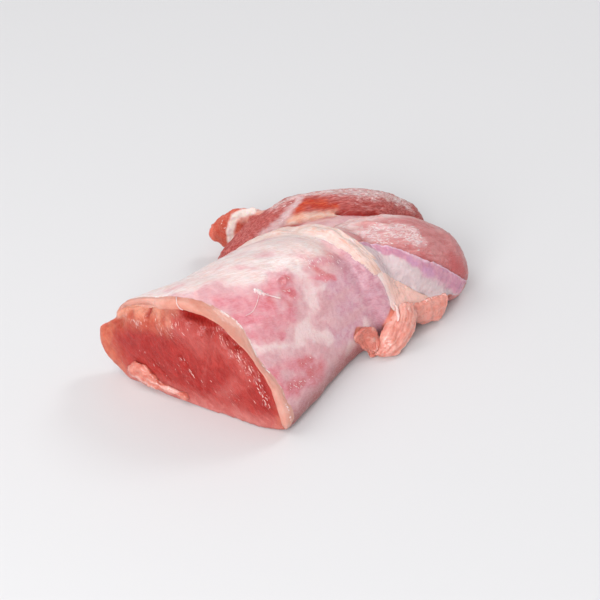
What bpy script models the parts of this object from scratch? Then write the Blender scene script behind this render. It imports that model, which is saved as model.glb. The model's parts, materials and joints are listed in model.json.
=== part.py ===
"""The head end of a raw pork tenderloin, as one closed solid that rests on its flat underside.

The long main muscle runs along +Y from its cut face at -Y. Behind it lie the side muscle, on the right,
and the thin chain muscle, which runs round the back from the left. Loose tissue hangs on all three: an ear
of trimmed meat, ropes of fat along the seam, three flaps of fat on the right and a fold of skin at the foot
of the cut face. Each is lofted as a closed body, then the bodies are fused, melted together a little and cut
flat where they rest.
"""

import math
from collections import namedtuple

import bmesh
import bpy
from mathutils import Vector, noise

MM = 0.001

# The main muscle, in millimetres, which the other pieces are set against
CUT_Y = -73.0
CUT_WIDTH_LEFT = 43.5
CUT_WIDTH_RIGHT = 38.5
CREST_HEIGHT = 42.5

# The skin's rim round the cut face
RIM_THICKNESS = 3.2
RIM_RECESS = 3.4
RIM_ROUND = 1.6
FOOT_BULGE = 5.0

# The side and chain muscles' heights, which their tops are shares of
SIDE_HEIGHT = 34.0
CHAIN_HEIGHT = 26.0

# How deep the bodies reach below the plane they rest on, before they are cut flat there
SUNK = 4.0

# How finely the bodies are fused, melted together and faceted
VOXEL = 1.1
MELT_ROUNDS = 6
FACET_SHARE = 0.14

# The middle of the fused solid, which its origin lies under
CENTRE_X = 3.2
CENTRE_Y = -3.55

# Points round a section, rings along a body and rings in its rounded ends
RING_POINTS = 56
RINGS = 48
CAP_RINGS = 7
END_SLOPE = 0.35
STRIP_POINTS = 20
STRIP_RINGS = 12
STRIP_CAP_RINGS = 4
CUT_RINGS = (0.985, 0.96, 0.93, 0.9, 0.86, 0.8, 0.66, 0.5, 0.34, 0.18)

Station = namedtuple("Station", "x y left right crest top low_left low_right base")


def spline(values, t):
    """The value at t, from 0 to 1, on a smooth curve through evenly spaced values."""
    last = len(values) - 1
    place = min(max(t, 0.0), 1.0) * last
    i = min(int(place), last - 1)
    f = place - i
    before = values[max(i - 1, 0)]
    start, end = values[i], values[i + 1]
    after = values[min(i + 2, last)]
    slope_in = (end - before) / 2
    slope_out = (after - start) / 2
    return (
        (2 * f**3 - 3 * f**2 + 1) * start
        + (f**3 - 2 * f**2 + f) * slope_in
        + (3 * f**2 - 2 * f**3) * end
        + (f**3 - f**2) * slope_out
    )


def station_at(stations, t):
    """The muscle's measures at a share t of its length."""
    return Station(*(spline([s[i] for s in stations], t) for i in range(len(Station._fields))))


def heading_at(stations, t):
    """The muscle's direction at t, in plan."""
    a, b = station_at(stations, t - 0.01), station_at(stations, t + 0.01)
    return Vector((b.x - a.x, b.y - a.y, 0)).normalized()


def outline(s, powers):
    """A muscle's section, as (across, up) points of four quarter superellipses.

    The powers are those of the left and right shoulders, then of the right and left feet. 2 is round, and
    more is squarer.
    """
    quarters = (
        (-1, s.left, s.low_left, s.top, powers[0], False),
        (1, s.right, s.low_right, s.top, powers[1], True),
        (1, s.right, s.low_right, s.base, powers[2], False),
        (-1, s.left, s.low_left, s.base, powers[3], True),
    )
    steps = RING_POINTS // 4
    points = []
    for side, reach, widest, end, power, from_crest in quarters:
        for i in range(steps):
            share = i / steps
            angle = math.pi / 2 * (1 - share if from_crest else share)
            across = math.cos(angle) ** (2 / power)
            up = math.sin(angle) ** (2 / power)
            points.append((s.crest + (side * reach - s.crest) * across, widest + (end - widest) * up))
    return points


def lumps(point, size, depth, seed):
    """A slow, uneven swelling of the surface, in millimetres."""
    place = Vector((point.x / size + seed, point.y / size, point.z / size))
    return depth * noise.noise(place)


def rounding(t):
    """How far along a rounded end, and how large, its section is at a share t of its rings."""
    if t == 0:
        return 0.0, 1.0
    angle = END_SLOPE + t * (math.pi / 2 - END_SLOPE)
    along = (math.sin(angle) - math.sin(END_SLOPE)) / (1 - math.sin(END_SLOPE))
    return along, math.cos(angle) / math.cos(END_SLOPE)


def close_end(bm, ring, centre):
    """Closes a ring with a fan of triangles."""
    hub = bm.verts.new(centre)
    for a, b in zip(ring, ring[1:] + ring[:1]):
        bm.faces.new((a, b, hub))


def skin(bm, rings):
    """Quads between each ring and the next."""
    for first, second in zip(rings, rings[1:]):
        for i, (a, b) in enumerate(zip(first, second)):
            j = (i + 1) % len(first)
            bm.faces.new((a, b, second[j], first[j]))


def muscle(bm, stations, powers=(2.0, 2.0, 3.0, 3.0), ends=(8.0, 8.0), lump=(16.0, 1.2), seed=0.0):
    """Lofts one muscle along its stations, with rounded ends of the given lengths, and returns its rings.

    An end of length 0 is left open.
    """
    rings = []
    places = [(0.0, phi) for phi in range(CAP_RINGS, 0, -1)] if ends[0] else []
    places += [(i / (RINGS - 1), 0) for i in range(RINGS)]
    places += [(1.0, -phi) for phi in range(1, CAP_RINGS + 1)] if ends[1] else []
    for t, phi in places:
        s = station_at(stations, t)
        ahead = heading_at(stations, t)
        across = Vector((ahead.y, -ahead.x, 0))
        share, shrink = rounding(abs(phi) / (CAP_RINGS + 0.6))
        shift = share * (-ends[0] if phi > 0 else ends[1])
        heart = 0.4 * s.top + 0.6 * s.base
        ring = []
        for u, w in outline(s, powers):
            point = Vector((s.x, s.y, heart + (w - heart) * shrink)) + across * (u * shrink) + ahead * shift
            outward = (point - Vector((s.x, s.y, heart))).normalized()
            point += outward * lumps(point, *lump, seed) * shrink
            ring.append(bm.verts.new(point))
        rings.append(ring)
    skin(bm, rings)
    for ring, length in zip((rings[0], rings[-1]), ends):
        if length:
            close_end(bm, ring, sum((v.co for v in ring), Vector()) / len(ring))
    return rings


def cut_depth(x, z, inset):
    """How far a point of the cut face stands out: the flesh sits back from the rim and swells at its foot."""
    swell = FOOT_BULGE * max(0.0, 1 - (x / 34) ** 2) * max(0.0, 1 - z / 26)
    under_rim = math.exp(-(((inset - RIM_THICKNESS - 1.6) / 2.2) ** 2))
    above_foot = min(1.0, max(0.0, (z - 8) / 14))
    turned_edge = RIM_ROUND * max(0.0, 1 - inset / RIM_ROUND) ** 2
    return swell - RIM_RECESS * under_rim * above_foot - turned_edge


def main_muscle(bm):
    """The long muscle under its silver skin, with a square cut face."""
    stations = [
        Station(0, CUT_Y, CUT_WIDTH_LEFT, CUT_WIDTH_RIGHT, -4, CREST_HEIGHT, 14, 5, -SUNK),
        Station(0, -58, 31.5, 38.6, -1, CREST_HEIGHT + 1, 13, 6, -SUNK),
        Station(0, -43, 27, 38.4, 3, CREST_HEIGHT + 1, 12, 6, -SUNK),
        Station(0, -28, 24.5, 38.2, 8, CREST_HEIGHT, 11, 6, -SUNK),
        Station(0, -13, 23, 39.5, 12, 0.92 * CREST_HEIGHT, 10, 7, -SUNK),
        Station(0, 2, 20, 42.5, 14, 0.75 * CREST_HEIGHT, 10, 8, -SUNK),
        Station(0, 17, 14, 34, 14, 0.56 * CREST_HEIGHT, 10, 8, -SUNK),
    ]
    front = muscle(bm, stations, (1.8, 1.62, 3.0, 2.2), ends=(0, 10), seed=3.1)[0]
    heart = Vector((-2, CUT_Y, 13))
    for v in front:
        v.co.y = CUT_Y + RIM_ROUND
    ring = front
    for factor in CUT_RINGS:
        inner = []
        for rim_vertex in front:
            place = heart + (rim_vertex.co - heart) * factor
            inset = (rim_vertex.co - place).length
            place.y = CUT_Y - cut_depth(place.x, place.z, inset)
            inner.append(bm.verts.new(place))
        skin(bm, [inner, ring])
        ring = inner
    close_end(bm, ring, heart - Vector((0, cut_depth(heart.x, heart.z, CREST_HEIGHT), 0)))


def side_muscle(bm):
    """The broad muscle on the right, behind the seam."""
    stations = [
        Station(8, 2, 14, 14, 0, 0.88 * SIDE_HEIGHT, 12, 12, -SUNK),
        Station(17, 8, 19, 20, 0, 0.97 * SIDE_HEIGHT, 12, 11, -SUNK),
        Station(27, 15, 22, 21, 0, SIDE_HEIGHT, 11, 11, -SUNK),
        Station(37, 24, 22, 17.5, 0, 0.955 * SIDE_HEIGHT, 10, 10, -SUNK),
        Station(45, 31.5, 17.5, 12, -1, 0.795 * SIDE_HEIGHT, 9, 8, -SUNK),
    ]
    muscle(bm, stations, (2.0, 2.0, 2.2, 3.0), ends=(8, 10.5), seed=7.7)


def chain_muscle(bm):
    """The narrow muscle that runs from the left round the back."""
    stations = [
        Station(-32, 1, 6, 8, 0, 0.58 * CHAIN_HEIGHT, 5, 5, -SUNK),
        Station(-25, 14, 10, 13, 0, 0.88 * CHAIN_HEIGHT, 8, 8, -SUNK),
        Station(-16, 29, 12, 17, 0, CHAIN_HEIGHT, 9, 9, -SUNK),
        Station(-6, 42, 12, 17, 0, 0.96 * CHAIN_HEIGHT, 9, 9, -SUNK),
        Station(4, 54, 11, 15, 0, 0.83 * CHAIN_HEIGHT, 8, 8, -SUNK),
        Station(12, 63, 8.5, 10.5, 0, 0.58 * CHAIN_HEIGHT, 6, 6, -SUNK),
    ]
    muscle(bm, stations, (2.0, 1.8, 3.0, 3.0), ends=(6, 9), seed=11.3)


def web(bm):
    """The tissue between the three muscles."""
    stations = [
        Station(-6, 4, 14, 14, 0, 26, 8, 8, -SUNK),
        Station(4, 19, 16, 14, 0, 25, 8, 8, -SUNK),
        Station(13, 33, 16, 14, 0, 21, 8, 8, -SUNK),
        Station(21, 43, 13, 12, 0, 14, 5, 5, -SUNK),
    ]
    muscle(bm, stations, ends=(8, 7), seed=9.1)


def closed_loft(bm, section_at, count, ends, lump, seed):
    """Lofts a closed body of elliptic sections.

    section_at(t) gives a section's middle, then its half width and half thickness as arrows. Each end is
    rounded over that many half thicknesses.
    """
    rings = []
    places = [(0.0, phi) for phi in range(STRIP_CAP_RINGS, 0, -1)]
    places += [(i / (count - 1), 0) for i in range(count)]
    places += [(1.0, -phi) for phi in range(1, STRIP_CAP_RINGS + 1)]
    for t, phi in places:
        middle, side, face = section_at(t)
        ahead = (section_at(t + 0.01)[0] - section_at(t - 0.01)[0]).normalized()
        share, shrink = rounding(abs(phi) / (STRIP_CAP_RINGS + 0.5))
        middle = middle + ahead * (share * face.length * (-ends[0] if phi > 0 else ends[1]))
        ring = []
        for i in range(STRIP_POINTS):
            around = i / STRIP_POINTS * 2 * math.pi
            outward = side * math.cos(around) + face * math.sin(around)
            point = middle + outward * shrink
            point += outward.normalized() * lumps(point, *lump, seed)
            ring.append(bm.verts.new(point))
        rings.append(ring)
    skin(bm, rings)
    for ring in (rings[0], rings[-1]):
        close_end(bm, ring, sum((v.co for v in ring), Vector()) / len(ring))


def strip(bm, points, lump=(6.0, 0.5), seed=0.0):
    """Lofts a rope through (x, y, z, half width, half thickness, lean) points. A lean of 0 lays it flat."""
    def measure(t):
        return [spline([p[i] for p in points], t) for i in range(6)]

    def section_at(t):
        x, y, z, wide, thick, lean = measure(t)
        ahead = (Vector(measure(t + 0.01)[:3]) - Vector(measure(t - 0.01)[:3])).normalized()
        flat = ahead.cross(Vector((0, 0, 1))).normalized()
        up = flat.cross(ahead)
        turn = math.radians(lean)
        side = flat * math.cos(turn) + up * math.sin(turn)
        face = up * math.cos(turn) - flat * math.sin(turn)
        return Vector((x, y, z)), side * wide, face * thick

    closed_loft(bm, section_at, STRIP_RINGS * len(points), (1.0, 1.0), lump, seed)


def flap(bm, first_edge, second_edge, thicknesses, ends=(1.0, 1.0), lump=(5.0, 0.5), seed=0.0):
    """Lofts a thin flap between two edges in space, with a half thickness at each pair of their points."""
    def point_on(edge, t):
        return Vector([spline([p[i] for p in edge], t) for i in range(3)])

    def section_at(t):
        first, second = point_on(first_edge, t), point_on(second_edge, t)
        before = point_on(first_edge, t - 0.01) + point_on(second_edge, t - 0.01)
        after = point_on(first_edge, t + 0.01) + point_on(second_edge, t + 0.01)
        side = (second - first) / 2
        face = side.cross(after - before).normalized() * spline(thicknesses, t)
        return (first + second) / 2, side, face

    closed_loft(bm, section_at, STRIP_RINGS * len(thicknesses), ends, lump, seed)


def seam_fat(bm):
    """The ropes of fat that fill the seam behind the main muscle and run down its right side."""
    strip(bm, [
        (-20, -20, 18, 5, 5, 0),
        (-8, -6, 23, 8, 7, 0),
        (8, -2, 29, 9, 7, 0),
        (22, -1, 29, 9, 7, 10),
        (33, -3, 21, 9, 7, 40),
        (38, -4, 9, 8, 6, 70),
    ], lump=(9.0, 1.0), seed=2.5)
    strip(bm, [
        (-21, -28, 20.5, 2, 2, 0),
        (-14, -13, 26, 4, 2.4, 0),
        (-3, -6, 30.5, 4.5, 2.6, 0),
        (9, -4, 34.4, 4, 2.6, 0),
        (20, -3.5, 35.2, 4, 2.6, 0),
        (30, -5.5, 30.8, 3.6, 2.6, 30),
        (36, -7, 21.5, 3.4, 2.6, 60),
        (38.5, -7, 10, 3.2, 2.6, 70),
    ], lump=(7.0, 1.2), seed=2.0)
    strip(bm, [
        (-16, -4, 23.5, 3, 2.2, 0),
        (-4, 1, 27.6, 4, 2.4, 0),
        (9, 2, 31.6, 4, 2.4, 0),
        (21, 1.5, 32.8, 4, 2.4, 0),
        (32, -1.5, 28, 3.4, 2.4, 40),
        (39, -4, 18, 3.2, 2.4, 65),
    ], lump=(6.0, 1.2), seed=3.0)


def ear(bm):
    """The thin ear of trimmed meat on the left, behind the main muscle."""
    low_edge = [(-27, 20, 2.5), (-34, 16.4, 2), (-41.5, 13.8, 2.4), (-45, 13, 4.8), (-48.4, 12, 6.4)]
    top_edge = [(-27, 20, 21.5), (-34, 18, 22.2), (-40, 15.2, 22), (-44, 13.2, 18.8), (-47.8, 11.8, 13.6)]
    flap(bm, low_edge, top_edge, (3.4, 3.0, 2.6, 2.2, 1.8), lump=(8.0, 0.7), seed=5.0)


def fat_flaps(bm):
    """The three flaps of fat that hang down on the right: the near, the middle and the far one."""
    flap(
        bm,
        [(37.4, -22.6, 9), (37.8, -21, 6.6), (39, -19.4, 4), (41, -19.2, 1.4), (43, -19.2, 0.7)],
        [(37.2, -20.8, 11.2), (37.8, -17.4, 10.6), (39, -14, 9.8), (41, -13, 6.6), (42.8, -14.8, 3.4)],
        (1.5, 1.9, 2.1, 2.1, 1.7), seed=1.0,
    )
    flap(
        bm,
        [(41.5, -3, 13), (43.2, -8, 11), (43.3, -12, 8.4), (43, -15.4, 4.6), (43, -18.8, 0.8)],
        [(46.8, 3, 13), (50, 0.6, 10.4), (51.4, -2.6, 7), (51.6, -7.6, 3.4), (49.4, -15.6, 0.6)],
        (2.6, 2.6, 2.5, 2.4, 1.8), seed=4.0,
    )
    flap(
        bm,
        [(45, 0.6, 6), (48.2, 4.8, 2.8), (51.2, 8.6, 1.4), (53.4, 12.6, 1.6), (54.4, 16, 3.4)],
        [(45.6, 0.4, 12.4), (48.4, 7.2, 11.2), (50, 12.4, 10.6), (51.8, 17, 10), (53.4, 20, 9)],
        (2.6, 2.6, 2.5, 2.2, 1.8), seed=6.0,
    )


def foot_fold(bm):
    """The fold of skin at the foot of the cut face."""
    strip(bm, [
        (-33.5, -71, 5.5, 1.6, 2.4, 0),
        (-28, -73.4, 4.8, 1.8, 3.0, 0),
        (-21, -75.2, 3.2, 1.8, 2.4, 0),
        (-12, -76.4, 1.8, 1.6, 1.8, 0),
        (-3, -76.4, 0.8, 1.4, 1.4, 0),
    ], lump=(4.0, 0.5), seed=8.0)


BUILDERS = (main_muscle, side_muscle, chain_muscle, web, seam_fat, ear, fat_flaps, foot_fold)


def fused_mesh():
    """All the bodies in one mesh, in metres, about the solid's origin."""
    bm = bmesh.new()
    for build in BUILDERS:
        build(bm)
    for v in bm.verts:
        v.co = (v.co - Vector((CENTRE_X, CENTRE_Y, 0))) * MM
    bmesh.ops.recalc_face_normals(bm, faces=bm.faces)
    mesh = bpy.data.meshes.new("tenderloin")
    bm.to_mesh(mesh)
    bm.free()
    return mesh


def rest_cutter(size):
    """A slab whose top is the plane that the meat rests on."""
    bm = bmesh.new()
    bmesh.ops.create_cube(bm, size=1.0)
    bmesh.ops.scale(bm, vec=(size, size, 10 * SUNK * MM), verts=bm.verts)
    bmesh.ops.translate(bm, vec=(0, 0, -5 * SUNK * MM), verts=bm.verts)
    mesh = bpy.data.meshes.new("rest_plane")
    bm.to_mesh(mesh)
    bm.free()
    cutter = bpy.data.objects.new("rest_plane", mesh)
    cutter.hide_render = True
    cutter.display_type = "WIRE"
    bpy.context.scene.collection.objects.link(cutter)
    return cutter


def flesh_material():
    material = bpy.data.materials.new("raw_flesh")
    material.use_nodes = True
    shader = material.node_tree.nodes["Principled BSDF"]
    shader.inputs["Base Color"].default_value = (0.62, 0.22, 0.21, 1)
    shader.inputs["Roughness"].default_value = 0.35
    shader.inputs["Metallic"].default_value = 0.0
    return material


def build_tenderloin():
    mesh = fused_mesh()
    mesh.materials.append(flesh_material())
    meat = bpy.data.objects.new("tenderloin", mesh)
    bpy.context.scene.collection.objects.link(meat)

    fuse = meat.modifiers.new("fuse", "REMESH")
    fuse.mode = "VOXEL"
    fuse.voxel_size = VOXEL * MM
    melt = meat.modifiers.new("melt", "SMOOTH")
    melt.factor = 0.5
    melt.iterations = MELT_ROUNDS
    facets = meat.modifiers.new("facets", "DECIMATE")
    facets.ratio = FACET_SHARE
    rest = meat.modifiers.new("rest", "BOOLEAN")
    rest.operation = "DIFFERENCE"
    rest.solver = "EXACT"
    rest.object = rest_cutter(4 * abs(CUT_Y) * MM)
    return meat


def clear_scene():
    for obj in list(bpy.data.objects):
        bpy.data.objects.remove(obj, do_unlink=True)


def main():
    clear_scene()
    build_tenderloin()


main()
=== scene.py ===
# %% [markdown]
# # The thick end of a raw pork tenderloin
# A tenderloin is one long muscle with two smaller ones tied to its thick end. A butcher cuts it straight
# across, trims it, and leaves some silver skin and fat on. We start from the solid that the part was
# packed with, grow a fine surface over it, and then add the thin things that a solid is too coarse for.

# %% Load the frame
import json
import math

import bpy
import numpy as np
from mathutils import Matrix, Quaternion, Vector, noise
from mathutils.bvhtree import BVHTree

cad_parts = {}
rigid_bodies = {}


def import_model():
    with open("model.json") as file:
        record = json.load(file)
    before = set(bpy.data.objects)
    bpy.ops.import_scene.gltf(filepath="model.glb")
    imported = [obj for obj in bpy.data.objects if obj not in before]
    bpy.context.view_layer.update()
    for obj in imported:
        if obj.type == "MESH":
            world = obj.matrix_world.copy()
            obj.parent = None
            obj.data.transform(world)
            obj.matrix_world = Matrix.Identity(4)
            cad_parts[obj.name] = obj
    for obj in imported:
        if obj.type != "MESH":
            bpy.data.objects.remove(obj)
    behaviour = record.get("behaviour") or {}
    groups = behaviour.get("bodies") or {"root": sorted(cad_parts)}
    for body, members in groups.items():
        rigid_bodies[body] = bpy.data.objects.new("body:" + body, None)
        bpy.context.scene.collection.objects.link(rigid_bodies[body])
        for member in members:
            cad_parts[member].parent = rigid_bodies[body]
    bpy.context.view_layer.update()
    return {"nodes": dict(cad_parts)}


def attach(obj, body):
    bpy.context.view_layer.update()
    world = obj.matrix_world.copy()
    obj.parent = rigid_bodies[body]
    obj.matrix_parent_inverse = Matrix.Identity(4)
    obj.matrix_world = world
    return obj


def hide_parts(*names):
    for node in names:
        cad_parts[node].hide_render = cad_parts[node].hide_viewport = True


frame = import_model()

# %% [markdown]
# ## Places on the meat
# Every place below is in millimetres from the point on the table that the meat was shaped around, with the
# cut face towards -Y and the thin end towards +Y. The frame's origin lies under the middle of the whole
# solid, a few millimetres away, so two short functions go back and forth.

# %% Millimetres and the frame
MM = 0.001
SHAPING_POINT = np.array([3.2, -3.55, 0.0])
CUT_Y = -73.0


def to_frame(points):
    """Shaping millimetres to the frame's metres."""
    return (np.asarray(points, float) - SHAPING_POINT) * MM


def from_frame(points):
    """The frame's metres to shaping millimetres."""
    return np.asarray(points, float) / MM + SHAPING_POINT


print("the frame's origin, in shaping mm:", from_frame([0, 0, 0]))

# %% [markdown]
# ## Small tools for shapes
# Meat has no straight lines, so nearly everything here is a smooth curve through a few points with a little
# noise on it. Working on whole arrays with numpy keeps that fast enough for a fine mesh.

# %% Curves, noise and fades
def curve(rows, count):
    """Rows of numbers, read off evenly along a smooth curve through them."""
    rows = np.asarray(rows, float)
    places = np.linspace(0, len(rows) - 1, count)
    i = np.clip(places.astype(int), 0, len(rows) - 2)
    f = (places - i)[:, None]
    start, end = rows[i], rows[i + 1]
    slope_in = (end - rows[np.maximum(i - 1, 0)]) / 2
    slope_out = (rows[np.minimum(i + 2, len(rows) - 1)] - start) / 2
    return (
        (2 * f**3 - 3 * f**2 + 1) * start
        + (f**3 - 2 * f**2 + f) * slope_in
        + (3 * f**2 - 2 * f**3) * end
        + (f**3 - f**2) * slope_out
    )


def rough(points, size, seed=0.0, octaves=2, stretch=(1, 1, 1)):
    """Noise from about -1 to 1 at each point, with bumps of that size in mm. Stretch lengthens them."""
    scaled = np.asarray(points, float) / (np.array(stretch, float) * size) + seed * 7.31
    return np.array([noise.fractal(Vector(p), 1.0, 2.0, octaves) for p in scaled])


def fade(values, start, end):
    """0 at start, 1 at end, and smooth in between. Start may be above end."""
    t = np.clip((np.asarray(values, float) - start) / (end - start), 0, 1)
    return t * t * (3 - 2 * t)


def unit(vectors):
    return vectors / np.maximum(np.linalg.norm(vectors, axis=-1, keepdims=True), 1e-9)


print("a fade from 0 to 1, at each quarter:", fade([0, 0.25, 0.5, 0.75, 1], 0, 1).round(2))


# %% Brush strokes
def distance_to(points, path):
    """Each point's distance from a path of straight runs, and its place along it, from 0 to 1."""
    path = np.asarray(path, float)
    best = np.full(len(points), 1e9)
    place = np.zeros(len(points))
    lengths = np.linalg.norm(np.diff(path, axis=0), axis=1)
    start = 0.0
    for a, b, length in zip(path, path[1:], lengths):
        along = np.clip((points - a) @ (b - a) / length**2, 0, 1)
        gap = np.linalg.norm(points - a - along[:, None] * (b - a), axis=1)
        nearer = gap < best
        best[nearer] = gap[nearer]
        place[nearer] = (start + along[nearer] * length) / lengths.sum()
        start += length
    return best, place


def stroke(points, path, radius, soft, wobble=0.0):
    """1 near a path and 0 beyond the radius, like a soft brush. Wobble moves its edge, in mm."""
    return fade(distance_to(points, path)[0] + wobble, radius, radius * (1 - soft))


off_path = np.array([[0, 0, 0], [0, 1, 0], [0, 2, 0]])
print("a soft stroke 0, 1 and 2 mm off its path:", stroke(off_path, [(-5, 0, 0), (5, 0, 0)], 2.0, 1.0))

# %% [markdown]
# ## Small tools for finishes
# A finish is a tree of shader nodes. These helpers make a node, set or link its sockets by name, and mix
# colours, so that each finish below reads as a recipe.

# %% Shader helpers
def wire(tree, socket, value):
    """Links an output to a socket, or sets the socket's own value."""
    if isinstance(value, bpy.types.NodeSocket):
        tree.links.new(value, socket)
    else:
        socket.default_value = value


def put(tree, kind, inputs, **settings):
    """A new node, with its sockets set or linked by name or number."""
    node = tree.nodes.new(kind)
    for key, value in settings.items():
        setattr(node, key, value)
    for key, value in inputs.items():
        wire(tree, node.inputs[key], value)
    return node


def rgb(red, green, blue):
    return (red, green, blue, 1.0)


def blend(tree, factor, first, second, kind="MIX"):
    """A second colour over a first, by a factor."""
    node = tree.nodes.new("ShaderNodeMix")
    node.data_type = "RGBA"
    node.blend_type = kind
    for number, value in ((0, factor), (6, first), (7, second)):
        wire(tree, node.inputs[number], value)
    return node.outputs[2]


def sums(tree, operation, first, second=0.0):
    """One step of arithmetic."""
    return put(tree, "ShaderNodeMath", {0: first, 1: second}, operation=operation).outputs[0]


def times(tree, first, second):
    """One value times another."""
    return sums(tree, "MULTIPLY", first, second)


def spread(tree, value, low, high, to_low=0.0, to_high=1.0):
    """A value's range from low to high, spread smoothly over another range."""
    inputs = {"Value": value, "From Min": low, "From Max": high, "To Min": to_low, "To Max": to_high}
    return put(tree, "ShaderNodeMapRange", inputs, interpolation_type="SMOOTHSTEP").outputs["Result"]


# %% Masks, layers and groups
def painted(tree, name):
    """A mask that was painted on the mesh's points."""
    return put(tree, "ShaderNodeAttribute", {}, attribute_name=name).outputs["Fac"]


def grain_of(tree):
    """The fibre directions that were painted on the mesh's points."""
    return put(tree, "ShaderNodeAttribute", {}, attribute_name="grain").outputs["Vector"]


def layered(tree, below, layers):
    """Colours laid over one another in turn: each with a painted mask or a factor, and its strength."""
    for mask, above, strength in layers:
        factor = painted(tree, mask) if isinstance(mask, str) else mask
        below = blend(tree, times(tree, factor, strength), below, above)
    return below


def new_group(name, inputs, outputs):
    """An empty node group with those sockets, its input node and its output node."""
    group = bpy.data.node_groups.new(name, "ShaderNodeTree")
    for label, kind, value in inputs:
        socket = group.interface.new_socket(name=label, in_out="INPUT", socket_type=kind)
        if value is not None:
            socket.default_value = value
    for label in outputs:
        group.interface.new_socket(name=label, in_out="OUTPUT", socket_type="NodeSocketFloat")
    return group, group.nodes.new("NodeGroupInput").outputs, group.nodes.new("NodeGroupOutput").inputs


def use(tree, group, **inputs):
    """Places a node group in a tree, and returns its outputs."""
    node = tree.nodes.new("ShaderNodeGroup")
    node.node_tree = group
    for key, value in inputs.items():
        wire(tree, node.inputs[key], value)
    return node.outputs


# %% [markdown]
# ## Fibres
# Muscle is bundles of long fibres. On a cut or trimmed face they show as streaks, some dark, some pale, and
# they catch the light. One group makes them from the "grain", a direction painted on each mesh whose first
# number runs along the fibres: squeezing that number makes any noise long and thin.

# %% The fibre group
fibres, given, gives = new_group(
    "fibres",
    [("Grain", "NodeSocketVector", None), ("Fineness", "NodeSocketFloat", 0.6),
     ("Length", "NodeSocketFloat", 8.0)],
    ["Streaks", "Bundles"],
)
shorter = sums(fibres, "DIVIDE", 1.0, given["Length"])
squeeze = put(fibres, "ShaderNodeCombineXYZ", {"X": shorter, "Y": 1.0, "Z": 1.0}).outputs[0]
squeezed = put(fibres, "ShaderNodeVectorMath", {0: given["Grain"], 1: squeeze}, operation="MULTIPLY")
long_grain = squeezed.outputs[0]
fine = put(fibres, "ShaderNodeTexNoise", {
    "Vector": long_grain, "Scale": given["Fineness"], "Detail": 4.0, "Roughness": 0.6, "Distortion": 0.3,
})
thick = put(fibres, "ShaderNodeTexNoise", {
    "Vector": long_grain, "Scale": times(fibres, given["Fineness"], 0.28), "Detail": 2.0,
    "Distortion": 0.6,
})
fibres.links.new(spread(fibres, fine.outputs["Fac"], 0.33, 0.67), gives["Streaks"])
fibres.links.new(spread(fibres, thick.outputs["Fac"], 0.36, 0.64), gives["Bundles"])
print("group:", fibres.name)

# %% [markdown]
# ## Blotches
# Blood and thin fat show through skin as soft patches with no direction of their own. This group gives a
# soft patchy mask, which the skin, the fat and the membrane all use.

# %% The blotch group
blotches, given, gives = new_group(
    "blotches",
    [("Place", "NodeSocketVector", None), ("Size", "NodeSocketFloat", 6.0), ("Cover", "NodeSocketFloat", 0.5),
     ("Softness", "NodeSocketFloat", 0.1)],
    ["Patches"],
)
cloud = put(blotches, "ShaderNodeTexNoise", {
    "Vector": given["Place"], "Scale": sums(blotches, "DIVIDE", 1.0, given["Size"]), "Detail": 4.0,
    "Roughness": 0.55, "Distortion": 0.5,
})
above = sums(blotches, "ADD", sums(blotches, "SUBTRACT", cloud.outputs["Fac"], 1.0), given["Cover"])
soft_low = times(blotches, given["Softness"], -1.0)
blotches.links.new(spread(blotches, above, soft_low, given["Softness"]), gives["Patches"])
print("group:", blotches.name)

# %% [markdown]
# ## Wet film
# Raw meat is wet: a thin film of juice pools in every dimple, with tiny ripples that break the highlights up
# into glints. One group gives each finish that fine height and an uneven roughness.

# %% The wet film group
wet_film, given, gives = new_group(
    "wet_film",
    [("Grain", "NodeSocketVector", None), ("Ripple", "NodeSocketFloat", 0.5)],
    ["Height", "Pools"],
)
ripples = put(wet_film, "ShaderNodeTexNoise", {
    "Vector": given["Grain"], "Scale": given["Ripple"], "Detail": 4.0, "Roughness": 0.6,
})
pools = put(wet_film, "ShaderNodeTexNoise", {"Vector": given["Grain"], "Scale": 0.16, "Detail": 2.0})
wet_film.links.new(ripples.outputs["Fac"], gives["Height"])
wet_film.links.new(spread(wet_film, pools.outputs["Fac"], 0.38, 0.62), gives["Pools"])
print("group:", wet_film.name)


# %% [markdown]
# ## Light inside the meat
# Meat and fat let light in a little way and give it back redder, which is why raw meat never looks painted.
# Each finish here is a shader with some light inside and a thin wet coat, and these two functions make the
# shader and join the colour, the bump and the roughness to it.

# %% A material with meat's depth
SEEN_DEPTHS = (1.0, 0.35, 0.25)


def meat_material(name, depth, see_into, coat, coat_roughness=0.15):
    """A finish whose light goes a little way in, under a wet coat, with its tree and its shader."""
    material = bpy.data.materials.new(name)
    material.use_nodes = True
    shader = material.node_tree.nodes["Principled BSDF"]
    shader.inputs["Subsurface Weight"].default_value = see_into
    shader.inputs["Subsurface Radius"].default_value = SEEN_DEPTHS
    shader.inputs["Subsurface Scale"].default_value = depth * MM
    shader.inputs["Coat Weight"].default_value = coat
    shader.inputs["Coat Roughness"].default_value = coat_roughness
    shader.inputs["Specular IOR Level"].default_value = 0.3
    print("material:", name)
    return material, material.node_tree, shader


def place_in_mm(tree):
    """The point's place in the frame, in millimetres."""
    where = put(tree, "ShaderNodeTexCoord", {}).outputs["Object"]
    return put(tree, "ShaderNodeVectorMath", {0: where, "Scale": 1000.0}, operation="SCALE").outputs[0]


def finish_surface(tree, shader, base, height, depth, rough_low, rough_high, pools):
    """Joins the colour, the bump of that depth in mm and the uneven roughness to the shader."""
    wire(tree, shader.inputs["Base Color"], base)
    bump = put(tree, "ShaderNodeBump", {"Height": height, "Strength": 1.0, "Distance": depth * MM})
    wire(tree, shader.inputs["Normal"], bump.outputs["Normal"])
    wire(tree, shader.inputs["Roughness"], spread(tree, pools, 0.0, 1.0, rough_low, rough_high))


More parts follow.
